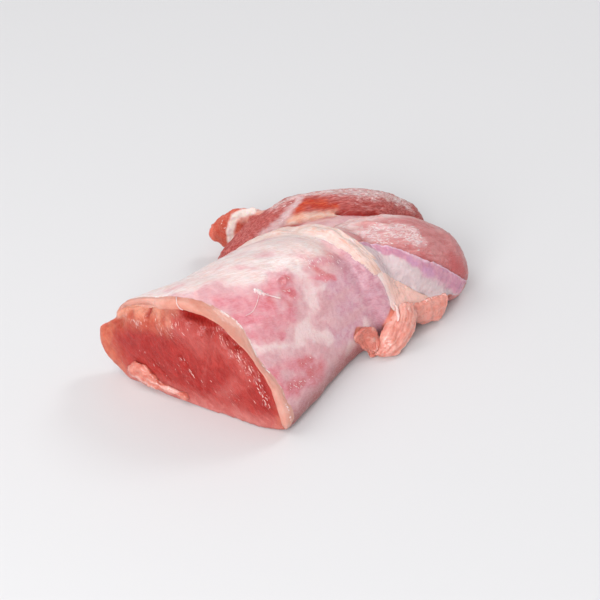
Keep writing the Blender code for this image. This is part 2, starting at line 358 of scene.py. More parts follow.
# %% [markdown]
# ## The fine surface
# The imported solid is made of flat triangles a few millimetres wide. We copy its mesh, let the Remesh
# modifier cover it in small even squares, and let the Smooth modifier melt the flat facets away. The copy
# keeps every main form of the solid, so the fine model and the solid always agree.

# %% Grow the body
def grown(mesh, voxel, rounds):
    """A copy of a mesh in even squares of voxel mm, smoothed that many rounds."""
    thing = bpy.data.objects.new("growing", mesh.copy())
    bpy.context.scene.collection.objects.link(thing)
    remesh = thing.modifiers.new("even squares", "REMESH")
    remesh.mode = "VOXEL"
    remesh.voxel_size = voxel * MM
    soften = thing.modifiers.new("soften", "SMOOTH")
    soften.factor = 0.5
    soften.iterations = rounds
    result = bpy.data.meshes.new_from_object(thing.evaluated_get(bpy.context.evaluated_depsgraph_get()))
    bpy.data.objects.remove(thing)
    return result


FINE_SQUARE, MELTING_ROUNDS = 0.66, 16
body_mesh = grown(frame["nodes"]["tenderloin"].data, FINE_SQUARE, MELTING_ROUNDS)
count = len(body_mesh.vertices)
body = np.empty(3 * count)
body_mesh.vertices.foreach_get("co", body)
body = from_frame(body.reshape(-1, 3))
out = np.empty(3 * count)
body_mesh.vertex_normals.foreach_get("vector", out)
out = out.reshape(-1, 3)
body_faces = np.array([tuple(p.vertices) for p in body_mesh.polygons])
print(f"body: {count} points, {len(body_faces)} faces")

# %% [markdown]
# ## Which muscle is where
# Each muscle has its own fibres and colour, so each point of the body has to know which muscle it belongs
# to. Every muscle is roughly half a barrel along a centre line: we measure how deep each point is inside
# each barrel, and it belongs to the one that it is deepest in. The web is the thin flesh between the two
# smaller muscles.

# %% Trace the muscles
# each row is a centre's x and y, the half widths to the left and right of it, and the height there
MAIN = [(0, -73, 43.5, 38.5, 42), (0, -58, 31.5, 38.6, 43), (0, -28, 24.5, 38.2, 42), (0, -13, 23, 39.5, 39),
        (0, 2, 20, 42.5, 32), (0, 17, 14, 34, 24)]
SIDE = [(8, 2, 14, 14, 30), (17, 8, 19, 20, 33), (27, 15, 22, 21, 34), (37, 24, 22, 17.5, 32.5),
        (45, 31.5, 17.5, 12, 27), (53, 39, 5, 5, 8)]
CHAIN = [(-36, -5, 3, 4, 7), (-32, 1, 6, 8, 15), (-25, 14, 10, 13, 23), (-16, 29, 12, 17, 26),
         (-6, 42, 12, 17, 25), (4, 54, 11, 15, 21.6), (12, 63, 8.5, 10.5, 15), (17, 70, 3, 4, 6)]
WEB = [(-6, 4, 12, 12, 25), (4, 19, 14, 12, 24), (13, 33, 14, 12, 20), (21, 43, 11, 10, 13)]
print("rows for each muscle:", [len(muscle) for muscle in (MAIN, SIDE, CHAIN, WEB)])


# %% Measure how deep each point lies
def inside_barrel(points, stations):
    """How deep points are in a muscle: 0 on its centre line and 1 on its skin. Also along and across it."""
    stations = np.asarray(stations, float)
    flat_path = np.column_stack([stations[:, :2], np.zeros(len(stations))])
    flat_points = points * (1, 1, 0)
    gap, place = distance_to(flat_points, flat_path)
    steps = np.linalg.norm(np.diff(flat_path, axis=0), axis=1)
    arc = np.concatenate([[0], np.cumsum(steps)])
    along = place * arc[-1]
    ahead = flat_path[-1] - flat_path[0]
    middle = np.column_stack([np.interp(along, arc, flat_path[:, k]) for k in range(3)])
    turn = ahead[0] * (flat_points - middle)[:, 1] - ahead[1] * (flat_points - middle)[:, 0]
    left = turn > 0
    width = np.where(left, np.interp(along, arc, stations[:, 2]), np.interp(along, arc, stations[:, 3]))
    top = np.interp(along, arc, stations[:, 4])
    across = np.where(left, -gap, gap)
    return np.hypot(gap / width, points[:, 2] / top), along, across


depths, alongs, acrosses = zip(*(inside_barrel(body, m) for m in (MAIN, SIDE, CHAIN, WEB)))
print("points inside each barrel:", [int((depth < 1).sum()) for depth in depths])

# %% Share the points out
ALL_MAIN, ALL_CHAIN = np.array([[1], [0], [0], [0]]), np.array([[0], [0], [1], [0]])
SHARPNESS, WEB_GIVES_WAY = 22, np.array([[0], [0], [0], [0.06]])
share = np.exp(-SHARPNESS * (np.array(depths) + WEB_GIVES_WAY))
share /= share.sum(0)
before_seam = fade(body[:, 1], -5.0, -7.0) * fade(body[:, 0], 8, 16)
share = share * (1 - before_seam) + ALL_MAIN * before_seam
CHAIN_FACE = [(-4, 33.4, 23.2), (0.4, 36.4, 22.4), (5.1, 40.6, 21), (8.3, 44.4, 19.8), (11, 49, 18.6)]
on_chain = stroke(body, CHAIN_FACE, 3.6, 0.4)
share = share * (1 - on_chain) + ALL_CHAIN * on_chain
cut = fade(-out[:, 1], 0.45, 0.75) * fade(body[:, 1], -64, -67)
skin, side, chain, web = share * (1 - cut)
CUT_FACE = 4
owner = np.where(cut > 0.5, CUT_FACE, share.argmax(0))
print("points on skin, side, chain, web and cut:", np.bincount(owner, minlength=5))

# %% [markdown]
# ## The grain
# Each muscle's fibres run along it, and on the main muscle they slant under the silver skin. The grain jumps
# where two muscles meet, so the points there are marked as a border, and the finish keeps its bump off it.
# A second grain, the ring, runs round the main muscle like the wrinkles beside the seam.

# %% Lay the grain
x, y, z = body.T
grain = np.zeros((count, 3))
heading = {
    # along, across and through the fibres, for each kind of surface
    0: (0.83 * alongs[0] + 0.56 * acrosses[0], 0.83 * acrosses[0] - 0.56 * alongs[0] - 0.5 * z, z),
    1: (alongs[1], acrosses[1], z),
    2: (alongs[2], acrosses[2], z),
    3: (0.5 * x + 0.8 * y, 0.8 * x - 0.5 * y, z),
    CUT_FACE: (0.64 * x - 0.78 * z, 0.78 * x + 0.64 * z, y),
}
for number, (along, across, through) in heading.items():
    mine = owner == number
    grain[mine] = np.column_stack([along, across, through])[mine]
print("grain along the fibres, in mm:", grain[:, 0].min().round(), "to", grain[:, 0].max().round())

# %% Find the borders and lay the ring
border = np.zeros(count)
for start, end in ((0, 1), (1, 2), (2, 3), (3, 0)):
    meeting = owner[body_faces[:, start]] != owner[body_faces[:, end]]
    border[body_faces[meeting].ravel()] = 1

MAIN_HEIGHT, MAIN_HALF_WIDTH, MAIN_RADIUS = 42, 39, 38
angle = np.arctan2(z / MAIN_HEIGHT, acrosses[0] / MAIN_HALF_WIDTH)
ring = np.column_stack([-MAIN_RADIUS * angle, alongs[0], 40 * depths[0]])
print("points on a border:", int(border.sum()))

# %% [markdown]
# ## Relief on the cut face
# A knife leaves the ends of the fibre bundles standing at slightly different heights, and the face opens
# along a few seams. Both are moves of the surface itself, because they catch the light and throw shadows.

# %% Carve the cut face
flat_cut = body * (1, 0, 1)


def on_face(path, radius, soft, wobble=0.0):
    """A brush stroke on the cut face, along (x, z) places."""
    return cut * stroke(flat_cut, [(across, 0, up) for across, up in path], radius, soft, wobble)


ridges = 0.6 * rough(grain, 1.2, 1.0, 3, stretch=(4, 1, 3)) + 0.5 * rough(body, 1.5, 1.5, 3)
slabs = rough(grain, 5.0, 2.0, 2, stretch=(3, 1, 3))
lift = cut * (0.34 * ridges + 0.6 * slabs) * fade(z, 0.5, 4.0)
CRACKS = [
    [(-17.8, 13.3), (-15.6, 11.4), (-12.9, 9.7), (-9.6, 7.3)], [(-5.3, 19.6), (-3.0, 17.8), (-1.6, 16.9)],
    [(0.6, 15.6), (3.0, 12.2), (3.9, 9.2)],
]
crumbled = 0.25 * rough(body, 3.0, 3.0, 3)
# these cracks are carved in, and later also darkened with painted shade
shaded_gaps = np.max([on_face(path, 0.75, 1.0, crumbled) for path in CRACKS], axis=0)
lift -= 0.7 * shaded_gaps
FACE_RELIEF = [
    # a path, a radius, a softness, and how far the flesh stands out along it, in mm
    ([(6.2, 37), (7.0, 31), (6.6, 26), (5.6, 20)], 2.2, 1.0, -0.9),
    ([(-3, 37.0), (3, 36.5), (8, 36), (13, 32.5), (16, 29.5)], 2.6, 0.8, -2.6),
    ([(-8, 31), (0, 29)], 9.0, 1.0, 1.6), ([(-33, 28), (-22, 27)], 4.5, 1.0, 1.0),
]
for path, radius, soft, height in FACE_RELIEF:
    lift += height * on_face(path, radius, soft)
print(f"cut: {lift.min():.1f} to {lift.max():.1f} mm of relief")

# %% [markdown]
# ## Folds of flesh under the rim
# At the upper left the flesh hangs from the rim in a few soft folds, up to a centimetre wide, with one
# crease between them, darkened with painted shade. They are low mounds with very soft edges, or they would
# look like knuckles.

# %% Hang the lobes
LOBES = [
    # a path, a radius and how far each stands out
    ([(-25.6, 34), (-23.4, 30.6)], 4.6, 0.8), ([(-17.0, 37), (-14.6, 32.4)], 2.6, 0.6),
    ([(-12.0, 36), (-9.4, 31.6)], 2.8, 0.4),
]
lobe = np.zeros(count)
for path, radius, height in LOBES:
    fold = on_face(path, radius, 0.9)
    lobe = np.maximum(lobe, fold)
    lift += height * fold
crease = on_face([(-18.8, 36.8), (-19.0, 34), (-20.0, 30.4)], 1.1, 1.0)
lift -= 0.8 * crease
print("points in a lobe:", int((lobe > 0.5).sum()))

# %% [markdown]
# ## Relief on the muscles and the skin
# The silver skin on the main muscle is smooth, with fine wrinkles where it is thick. The two other muscles
# were trimmed, so their fibres lie bare in grooves, and the side muscle's front is folded in thin layers.

# %% Carve the muscles
def brushed(strokes, soft, wobble=0.0):
    """The strongest of several brush strokes on the body, each a path and a radius."""
    return np.max([stroke(body, path, radius, soft, wobble) for path, radius in strokes], axis=0)


wrinkles = rough(grain, 1.6, 4.0, 2, stretch=(5, 1, 2))
swells = rough(body, 9.0, 5.0, 2)
near_seam = skin * fade(y, -34, -20) * fade(x, 30, 20)
ring_wrinkles = rough(ring, 1.9, 14.0, 3, stretch=(9, 1, 3))
lift += skin * (0.10 * wrinkles + 0.3 * swells) + 0.14 * near_seam * ring_wrinkles
grooves = rough(grain, 1.5, 6.0, 3, stretch=(9, 1, 1.2))
lift += chain * (0.6 * grooves + 0.3 * swells)
CHAIN_EDGE = [(-1.2, 32.6, 21.6), (1.4, 34.0, 21.2), (3.8, 35.8, 20.8), (6.4, 39.0, 20.2), (10.5, 44, 18.6)]
edge_gap = brushed([(CHAIN_EDGE, 1.5)], 0.8)
lift -= 1.4 * edge_gap
side_grooves = rough(grain, 1.6, 7.0, 2, stretch=(4, 1, 1))
lift += side * (0.22 * side_grooves + 0.16 * rough(body, 0.9, 7.5) + 0.35 * swells)
lift += web * 0.35 * rough(grain, 2.4, 8.0, 2, stretch=(4, 1, 1))
print(f"muscles: {lift.min():.1f} to {lift.max():.1f} mm of relief")

# %% Fold the thin layers
FOLDS = [
    # a layer's edge, how high it stands and how wide it is, in mm
    ([(15.4, 1.6, 36.7), (15.6, 6, 35), (16.3, 10.9, 33.1), (19.7, 14.1, 33.3), (22.9, 15.3, 33.5),
      (28.7, 16.5, 33.7), (33, 17.5, 33)], 1.0, 2.0),
    ([(3.4, 29.2, 23.1), (8, 27, 26.5), (14, 25, 29.5), (20, 26, 31), (26.1, 28.8, 31.1)], 0.8, 2.2),
    ([(10, 17, 30), (15, 19, 31.6), (21, 21, 32.4), (27, 22.6, 32.6)], 0.6, 1.8),
]
ragged = 0.7 * rough(body, 3.0, 9.0)
for path, height, width in FOLDS:
    gap, place = distance_to(body, path)
    gap = gap + ragged
    lift += height * (side + web) * fade(gap, width, 0.3) * fade(np.abs(place - 0.5), 0.5, 0.3)
RING_WRINKLE = np.array([16.8, -40.6, 38.6])
ring_gap = np.abs(np.linalg.norm((body - RING_WRINKLE) / (1.0, 1.6, 1.0), axis=1) - 1.6)
lift += 0.22 * fade(ring_gap, 0.9, 0.0)
print(len(FOLDS), "layers and one ring-shaped wrinkle")

# %% [markdown]
# ## The ear and the beds of the flaps
# The ear is a leftover of trimmed meat with a strip of fat along its fold and a hollow behind the strip
# that is darkened with painted shade.
# The three flaps of fat on the right get a shallow bed each, so that the thin slabs laid over them later
# don't fight with the body's own surface.

# %% Shape the ear and the beds
FLAP_MIDDLES = [
    [(37.6, -21, 10), (38.6, -17.5, 7.6), (41, -16, 4), (43, -17.4, 2)],
    [(44, 0, 13), (46.6, -3.7, 10.7), (47.4, -7.3, 7.7), (47.3, -11.5, 4), (46.2, -17, 1)],
    [(45.3, 0.5, 9.2), (48.3, 6, 7), (50.6, 10.5, 6), (52.6, 14.8, 5.8), (54, 18, 6.2)],
]
flaps = brushed(list(zip(FLAP_MIDDLES, (3.4, 7.0, 7.5))), 0.2)
lift -= 0.5 * flaps
STRIP = [(-31.8, 16.9, 22), (-34.9, 14.9, 21.3), (-37.6, 12.9, 19.3), (-38.4, 11.7, 16.4),
         (-38.8, 11.3, 13.2), (-38.9, 11.2, 9.4), (-38.4, 11.6, 5)]
EAR_INSIDE = [(-34.6, 14.6, 18.5), (-34.3, 16.4, 21.1), (-32.2, 17.6, 21.9), (-29.4, 18.7, 22)]
ear_inside = brushed([(EAR_INSIDE, 2.8)], 0.4) * fade(y, 13.4, 14.6)
ear = np.maximum(fade(x + rough(body, 3.0, 43.0, 3), -33.0, -35.4) * fade(y, 8.0, 10.0), ear_inside)
ear_fat = ear * brushed([(STRIP, 2.5)], 0.4, 0.4 * rough(body, 3.0, 41.0))
lift += 0.6 * ear_fat + 0.6 * ear * rough(body, 3.0, 42.0, 3) * fade(x + 0.4 * z, -36, -44)
HOLLOW = [(-35.0, 12.6, 13.2), (-34.7, 13.4, 15.4), (-33.6, 14.2, 17.2)]
# the hollow is carved in and darkened with painted shade
ear_hollow = 0.5 * brushed([(HOLLOW, 2.0)], 1.0)
lift -= 1.6 * ear_hollow
print("points on the ear and in the beds:", int((ear > 0.5).sum()), int((flaps > 0.5).sum()))

# %% [markdown]
# ## Moving the surface
# All the relief is one move along each point's way out. Then two larger moves: the knife has trimmed the
# lower left corner of the cut a little, and the foot of the cut draws back where it meets the table.

# %% Move the surface
body = body + out * lift[:, None]
CORNER = [(-39.0, -78, 26.0), (-37.6, -62, 27.6)]
TRIMMED, TRIMMED_WAY = 3.0, (0.72, 0, -0.69)
DRAWN_BACK = 2.4
body += (TRIMMED * brushed([(CORNER, 11.5)], 1.0))[:, None] * TRIMMED_WAY
middle_foot = fade(z, 16, 1) * fade(y, -60, -70) * fade(x, -30, -20) * fade(x, 30, 12)
body[:, 1] += DRAWN_BACK * middle_foot
body[:, 2] = np.maximum(body[:, 2], 0.0)
body_tree = BVHTree.FromPolygons(body.tolist(), body_faces.tolist())
print("body, in mm:", np.round(np.ptp(body, axis=0), 1))

# %% Places on the body
def on_body(points, proud):
    """The nearest places on the body, that many mm out of it."""
    proud = np.broadcast_to(proud, len(points))
    found = [body_tree.find_nearest(Vector(p)) for p in points]
    return np.array([np.array(hit[0]) + np.array(hit[1]) * p for hit, p in zip(found, proud)])


def on_cut(across, up, proud):
    """The cut face's place behind (across, up), seen from the front, and that many mm before it."""
    start = Vector((across, CUT_Y - 15, up))
    found = body_tree.ray_cast(start, Vector((0, 1, 0)))[0]
    return np.array((across, (found.y if found else CUT_Y) - proud, up))


print("the cut's middle, in mm:", on_cut(0, 20, 0).round(2))

# %% [markdown]
# ## Painting the masks
# The colours of raw meat follow what is under the surface: cream where fat lies, rose where blood shows
# through, lilac where the skin is thick over dark flesh. We paint one mask for each of these with soft
# brush strokes in the places where it really is, and let noise break up their edges.

# %% Paint the skin's cream and pale patches
edge = 2.6 * rough(body, 6.0, 11.0, 3)
fine_edge = 1.4 * rough(body, 2.6, 12.0, 3)
masks = {"skin": skin, "side": side, "chain": chain, "cut": cut, "near_seam": near_seam, "border": border}
masks["cream"] = brushed([
    ([(-24, -71, 36), (-18, -64, 38), (-12, -52, 40), (-8, -38, 41), (-3, -28, 41), (3, -18, 39)], 9.5),
    ([(-1, -42, 43), (2, -30, 42), (9, -24, 41), (14, -15, 39)], 8.5),
    ([(-24, -66, 26), (-20, -50, 26), (-16, -34, 26), (-14, -22, 26)], 16.0),
    ([(-12, -12, 29), (0, -8, 33), (8, -10, 37), (13, -10, 37)], 5.5),
    ([(-9, -54, 41), (2, -52, 43), (6, -49, 43), (9.5, -46.4, 42)], 6.0),
    ([(2, -43, 43), (6, -40, 43), (10, -36, 42), (13, -32, 41), (15.6, -28.6, 39.4)], 5.0),
    ([(-18, -72, 38.5), (-13, -70, 40), (-8, -64, 41.5), (-4, -58, 42)], 5.0),
], 0.85, edge)
masks["pale"] = brushed([
    ([(23, -69, 30.5), (26.7, -61.9, 27.9), (29.1, -55.9, 24.9), (29.3, -49.3, 25), (28.3, -42.6, 27)], 3.6),
    ([(29, -48, 25), (32, -41, 21), (34.7, -37.4, 17)], 4.2),
    ([(28.3, -42.6, 27), (26.6, -37.4, 29.8), (24.7, -31.9, 32.3), (21, -30, 35.5), (15, -31, 39)], 3.6),
    ([(14, -20, 39), (20, -16.6, 37.4), (25, -12.6, 34.8)], 1.6),
    ([(24.7, -31.9, 32.3), (26.1, -27, 31)], 3.4), ([(0, -60, 42), (5, -54, 41.6), (10, -48, 40.6)], 3.2),
    ([(37, -30, 8), (38, -20, 9), (39, -16, 12)], 3.0),
], 0.9, edge)
print("cream and pale cover:", masks["cream"].mean().round(3), masks["pale"].mean().round(3))

# %% Paint the skin's rose and dark spots
masks["rose"] = brushed([
    ([(7, -65, 41.2), (11.4, -61, 39.4), (16, -56, 38), (19, -52, 36)], 6.4),
    ([(15.3, -60, 37.4), (16.3, -52.9, 38), (16.3, -44.2, 39.1), (17.5, -38, 38)], 5.0),
    ([(13, -68.6, 37.6), (16, -65, 37), (19, -61, 35), (22, -57, 34), (24, -52, 31.4)], 5.6),
    ([(20, -68, 33.6), (22, -65.6, 33), (24.4, -61, 31), (26.4, -56.4, 28.6)], 3.8),
    ([(22.4, -61, 32.6), (23.6, -54.6, 31.9), (24.4, -48.6, 31.6)], 4.6),
    ([(20.3, -40.1, 36.1), (21, -48, 35)], 3.6),
    ([(16.5, -25, 39.0), (20.6, -20.2, 37.0), (24, -14.6, 34.4), (28.6, -10, 32.2)], 4.0),
    ([(21.4, -29.8, 35.2), (25.2, -24.2, 33.0), (27, -19.6, 31.9)], 2.0),
    ([(30.4, -70, 22.4), (31.4, -64, 21.2), (33.6, -57.4, 18), (35.6, -51.5, 15)], 4.4),
    ([(34, -70, 17), (36, -64, 14.6), (37, -56, 12.6), (37.5, -50, 11.5)], 6.6),
], 0.9, edge)
masks["dark_spots"] = brushed([
    ([(16.8, -40.6, 38.6), (17.6, -37, 38.4)], 2.6), ([(19, -43, 37), (21.5, -41, 35.4)], 2.4),
    ([(20, -46.5, 36), (22, -45.4, 34.4)], 2.2), ([(18, -50.5, 37), (19.6, -49.8, 36)], 2.0),
    ([(20, -14, 36.4), (24, -11, 34.4)], 3.0), ([(22, -24, 35.6), (26, -21, 32.4)], 1.8),
    ([(35.6, -54, 14.4), (36.4, -49, 12.6)], 3.4), ([(33.6, -56, 18.6), (34.6, -51, 17.2)], 2.4),
    ([(34.4, -67, 16.6), (36.4, -60, 13.4)], 3.6),
], 1.0, 0.6 * edge)
print("rose and dark spots cover:", masks["rose"].mean().round(3), masks["dark_spots"].mean().round(3))

# %% Paint the skin's lilac, its foot and the bay
masks["lilac"] = brushed([
    ([(14, -24, 39.2), (19.6, -20.2, 37.4), (24, -15.6, 34.8)], 3.4),
    ([(26.6, -26, 30), (28.6, -20, 29), (31, -14, 27), (35, -10, 27)], 6.0),
    ([(30, -13, 30.4), (35, -10.4, 26), (38.4, -10, 21), (40.5, -10.6, 16), (41, -13, 10)], 10.0),
    ([(33.4, -24, 21.6), (33.6, -17, 22.6), (37, -10, 21)], 7.6),
    ([(34.6, -34, 15.6), (36, -24, 13), (38, -14, 13)], 7.6),
], 0.9, edge)
# the foot is painted shade: the main muscle's right side darkens where it turns under towards the table
masks["foot"] = fade(z, 13, 3) * fade(x, 22, 34) * fade(y, -14, -20)
# the bay is painted shade: the slope beside the seam faces the lamps and is darkened for it
SHADED_BAY = [(26, -12, 34), (29, -9.6, 32), (32.4, -10, 28), (37, -10.4, 23), (39.6, -10.8, 18), (41, -11, 11)]
masks["bay"] = brushed([(SHADED_BAY, 6.6)], 0.85, 0.4 * edge)
print("masks on the skin:", len(masks))

# %% Paint the muscles
# the frost is a white frosting of scraped fibres, partly painted sheen on the muscles' tops
side_frost_and_sheen = (side + web) * brushed([
    ([(22, 8, 34), (29.8, 9.6, 32.8), (36.3, 16.4, 33), (42, 18.8, 30.3)], 5.0),
    ([(25.7, 13.4, 33.7), (29.7, 17.8, 33.8), (39, 20, 32)], 5.0),
], 0.95, edge)
chain_frost_and_sheen = chain * brushed([
    ([(-24, 22, 22), (-18, 32, 25.5), (-13.4, 39.7, 24.6), (-6.6, 44.6, 24.5), (0, 50.6, 22.9),
      (7.6, 56.2, 19.8), (13, 62.5, 14.6)], 5.4),
    ([(4, 54, 21), (10, 60, 16), (16, 62, 13)], 3.4),
    ([(-15, 36, 25.6), (-9, 40.6, 25), (-2, 46, 24), (5, 51.6, 21.8)], 5.4),
], 0.9, fine_edge)
masks["frost_and_sheen"] = np.maximum(side_frost_and_sheen, chain_frost_and_sheen)
# a painted highlight along the side muscle's top edge
EDGE_HIGHLIGHT = [(28.9, 27.6, 32.2), (35.1, 32.5, 29.6), (43.8, 32.3, 26.9)]
masks["edge_highlight"] = 0.5 * side * brushed([(EDGE_HIGHLIGHT, 2.6)], 0.9, fine_edge)
masks["front_pink"] = (side + web) * brushed([
    ([(12, 8, 34.4), (13, 14, 33), (12, 20, 30), (10, 27, 27)], 9.0),
    ([(14, 5, 34.6), (18, 12, 33.4), (20, 18, 33)], 6.0), ([(18, 22, 32), (26, 28, 32)], 6.0),
], 0.9, edge)
not_skin = (1 - skin) * (1 - cut) * (1 - ear)
FAT = [(-14.6, 17.6, 22.3), (-11.7, 20.9, 22.7), (-8.2, 24.2, 22.4), (-4.7, 28.4, 22), (-1.6, 31.4, 21.6)]
masks["fat"] = not_skin * brushed([(FAT, 3.4)], 0.9, 0.5 * fine_edge)
masks["orange"] = not_skin * brushed([
    ([(-14.6, 22, 24.2), (-14.2, 26.2, 25.4), (-12, 29.4, 25.8), (-7, 32, 24.6)], 5.0),
    ([(-7, 31.4, 24.4), (-3.4, 34.1, 23.6)], 2.6),
], 0.9, fine_edge)
masks["fascia"] = not_skin * brushed([
    ([(-16.0, 29.4, 25.9), (-16.4, 25.3, 25.5), (-17.0, 20.7, 24.0)], 1.8),
    ([(-17.0, 21.7, 24.0), (-17.4, 16.3, 22.4), (-18.8, 11.7, 20.7), (-21.4, 7.4, 18)], 3.2),
], 0.9, 0.7 * fine_edge)
masks.update(ear=ear, ear_fat=ear_fat, ear_hollow=ear_hollow, salmon=flaps)
masks["ear_pale"] = ear_inside * (1 - ear_hollow)
print("masks on the skin and the muscles:", len(masks))

# %% Say what shows on the cut
ON_CUT = {
    # strokes of a path, a radius, a softness, a strength and what moves the edge
    "dusk": [
        ([(-6, 33), (0, 30), (4, 27)], 8.0, 0.9, 1.0, 0.0), ([(12, 9), (18, 16)], 5.5, 1.0, 1.0, fine_edge),
        ([(5, 30), (12, 28), (17, 25), (22, 19)], 5.0, 1.0, 0.8, fine_edge),
        ([(6.4, 29), (6.2, 24), (5.7, 21), (4.9, 14.6), (4.9, 7.4), (9, 5.3)], 1.3, 1.0, 0.5,
         0.3 * fine_edge),
        ([(15.1, 17.5), (16.9, 11.9)], 1.3, 1.0, 0.5, 0.3 * fine_edge),
    ],
    "cheek": [
        ([(-38, 27), (-44, 22), (-42, 11), (-36, 3)], 11.5, 0.95, 1.0, 0.3 * edge),
        ([(-34, 24), (-30, 27), (-22, 29), (-13, 30)], 7.2, 1.0, 0.82, fine_edge),
        ([(36, 22), (38, 12), (38, 2)], 7.0, 1.0, 0.8, fine_edge),
    ],
    "deep": [
        ([(-26, 20), (-14, 18), (-2, 14), (6, 12), (14, 14)], 12.0, 1.0, 1.0, edge),
        ([(26, 16), (29, 9)], 6.5, 1.0, 1.0, fine_edge),
    ],
    # the lobe's first point, at the far left corner, is painted light that lifts the shade under the rim's
    # lip
    "lobe": [([(-33, 28.5), (-29, 31.6), (-20, 34.3), (-13, 35.3), (-9, 37)], 5.4, 1.0, 1.0, 0.0)],
    # the gap under the rim's lip, darkened with painted shade
    "shaded_gaps": [([(-4, 37.4), (3, 37.2), (8, 36.6), (12, 35), (15, 32.4), (17.5, 29.5)], 3.2, 0.7, 1.0, 0.0)],
}
print("strokes on the cut:", {name: len(strokes) for name, strokes in ON_CUT.items()})

# %% Paint the cut
for name, strokes in ON_CUT.items():
    masks[name] = np.max([strength * on_face(path, radius, soft, wobble)
                          for path, radius, soft, strength, wobble in strokes], axis=0)
# on the side muscle the dusk darkens its lower right edge: partly its own darker red, partly painted shade
SIDE_DUSK = [([(45.1, 13.1, 24.7), (49.2, 17.6, 20.6), (52.9, 23.4, 15.2)], 5.0),
             ([(52, 27, 18), (56, 31, 10)], 6.0)]
masks["dusk"] = np.maximum(masks["dusk"], side * brushed(SIDE_DUSK, 0.9, fine_edge))
masks["cheek"] = np.maximum(masks["cheek"], fade(x, -33, -39) * fade(y, -55, -66))
# at the far left corner the lobe's colour reaches lower, as painted light under the rim's lip
lobe_height = fade(z + 0.4 * fine_edge + 4 * fade(x, -27, -31), 27.4, 31.4)
masks["lobe"] = np.maximum(masks["lobe"], lobe) * lobe_height * (1 - 0.45 * fade(x, -17, -12))
# the cut grows paler towards its foot: partly its own paler lip, partly painted light against the shade where
# the face turns under
masks["low"] = cut * fade(z + 0.6 * edge, 9, 1)
SEAM_LINE = [(-15, 13.9, 20.4), (-11.5, 17.3, 21), (-7.7, 19.5, 21.4), (-4.4, 23.5, 22), (0, 27, 22.6)]
seam_line = brushed([(SEAM_LINE, 0.9)], 0.9, 0.4 * fine_edge)
# painted shade: the cracks, the crease, the gap under the rim, the groove beside the chain and the seam line
# are all darkened
gaps_off_cut = np.maximum(edge_gap, 0.6 * seam_line) * not_skin
masks["shaded_gaps"] = np.max([masks["shaded_gaps"], shaded_gaps, 0.6 * crease, gaps_off_cut], axis=0)
print("painted:", {key: round(float(np.mean(values)), 3) for key, values in masks.items()})

# %% [markdown]
# ## Pieces
# Each visible part of the meat is a mesh of its own. It rides on the part's one body and it stands for the
# plain solid. The grain and the masks go on its points, where its finish finds them by name.

# %% Making pieces
def make_piece(name, points, faces, material, grain, masks=None):
    """A smooth mesh from shaping millimetres, which rides on the meat and stands for its solid."""
    mesh = bpy.data.meshes.new(name)
    mesh.from_pydata(to_frame(points).tolist(), [], [tuple(int(i) for i in f) for f in faces])
    mesh.shade_smooth()
    mesh.attributes.new("grain", "FLOAT_VECTOR", "POINT").data.foreach_set("vector", np.ravel(grain))
    for key, values in (masks or {}).items():
        mesh.attributes.new(key, "FLOAT", "POINT").data.foreach_set("value", np.ravel(values))
    mesh.materials.append(material)
    piece = bpy.data.objects.new(name, mesh)
    bpy.context.scene.collection.objects.link(piece)
    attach(piece, "root")
    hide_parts("tenderloin")
    print(f"{name}: {len(mesh.vertices)} points, {len(mesh.polygons)} faces")
    return piece


def grid_faces(rows, columns):
    """The quads of a sheet of rows by columns points."""
    corner = np.arange(rows * columns).reshape(rows, columns)
    quads = [corner[:-1, :-1], corner[:-1, 1:], corner[1:, 1:], corner[1:, :-1]]
    return np.stack(quads, -1).reshape(-1, 4)


print("quads in a sheet of 3 by 4 points:", len(grid_faces(3, 4)))

# %% [markdown]
# ## The body's finish
# One finish covers the whole body, so that the muscles melt into each other as they do in life. It makes
# the colour of each kind of surface in turn, and lays one over the other by the painted masks.

# %% Gather what the body's colours need
flesh, tree, shader = meat_material("fresh_meat", 2.4, 0.35, 0.25, 0.1)
mm = place_in_mm(tree)
thread = use(tree, fibres, Grain=grain_of(tree), Fineness=1.3, Length=6.0)
crumb = use(tree, fibres, Grain=grain_of(tree), Fineness=1.7, Length=2.2)
smear = use(tree, fibres, Grain=grain_of(tree), Fineness=0.5, Length=3.0)
hair = use(tree, fibres, Grain=grain_of(tree), Fineness=1.9, Length=7.0)
around = put(tree, "ShaderNodeAttribute", {}, attribute_name="ring").outputs["Vector"]
ringed = use(tree, fibres, Grain=around, Fineness=0.9, Length=12.0)
patch = use(tree, blotches, Place=mm, Size=5.0, Cover=0.5, Softness=0.12)["Patches"]
cloudy = use(tree, blotches, Place=mm, Size=2.6, Cover=0.5, Softness=0.12)["Patches"]
speck = use(tree, blotches, Place=mm, Size=1.1, Cover=0.42, Softness=0.05)["Patches"]
film = use(tree, wet_film, Grain=mm, Ripple=0.55)
print("the body's streaks and patches are ready")

# %% [markdown]
# ## The cut's colours
# Fresh pork is dark rose in the middle of the cut, where it is thick, and paler and more orange towards its
# rim, where light comes through. Dry spots and seams are dusky, and the folds under the rim are peach.

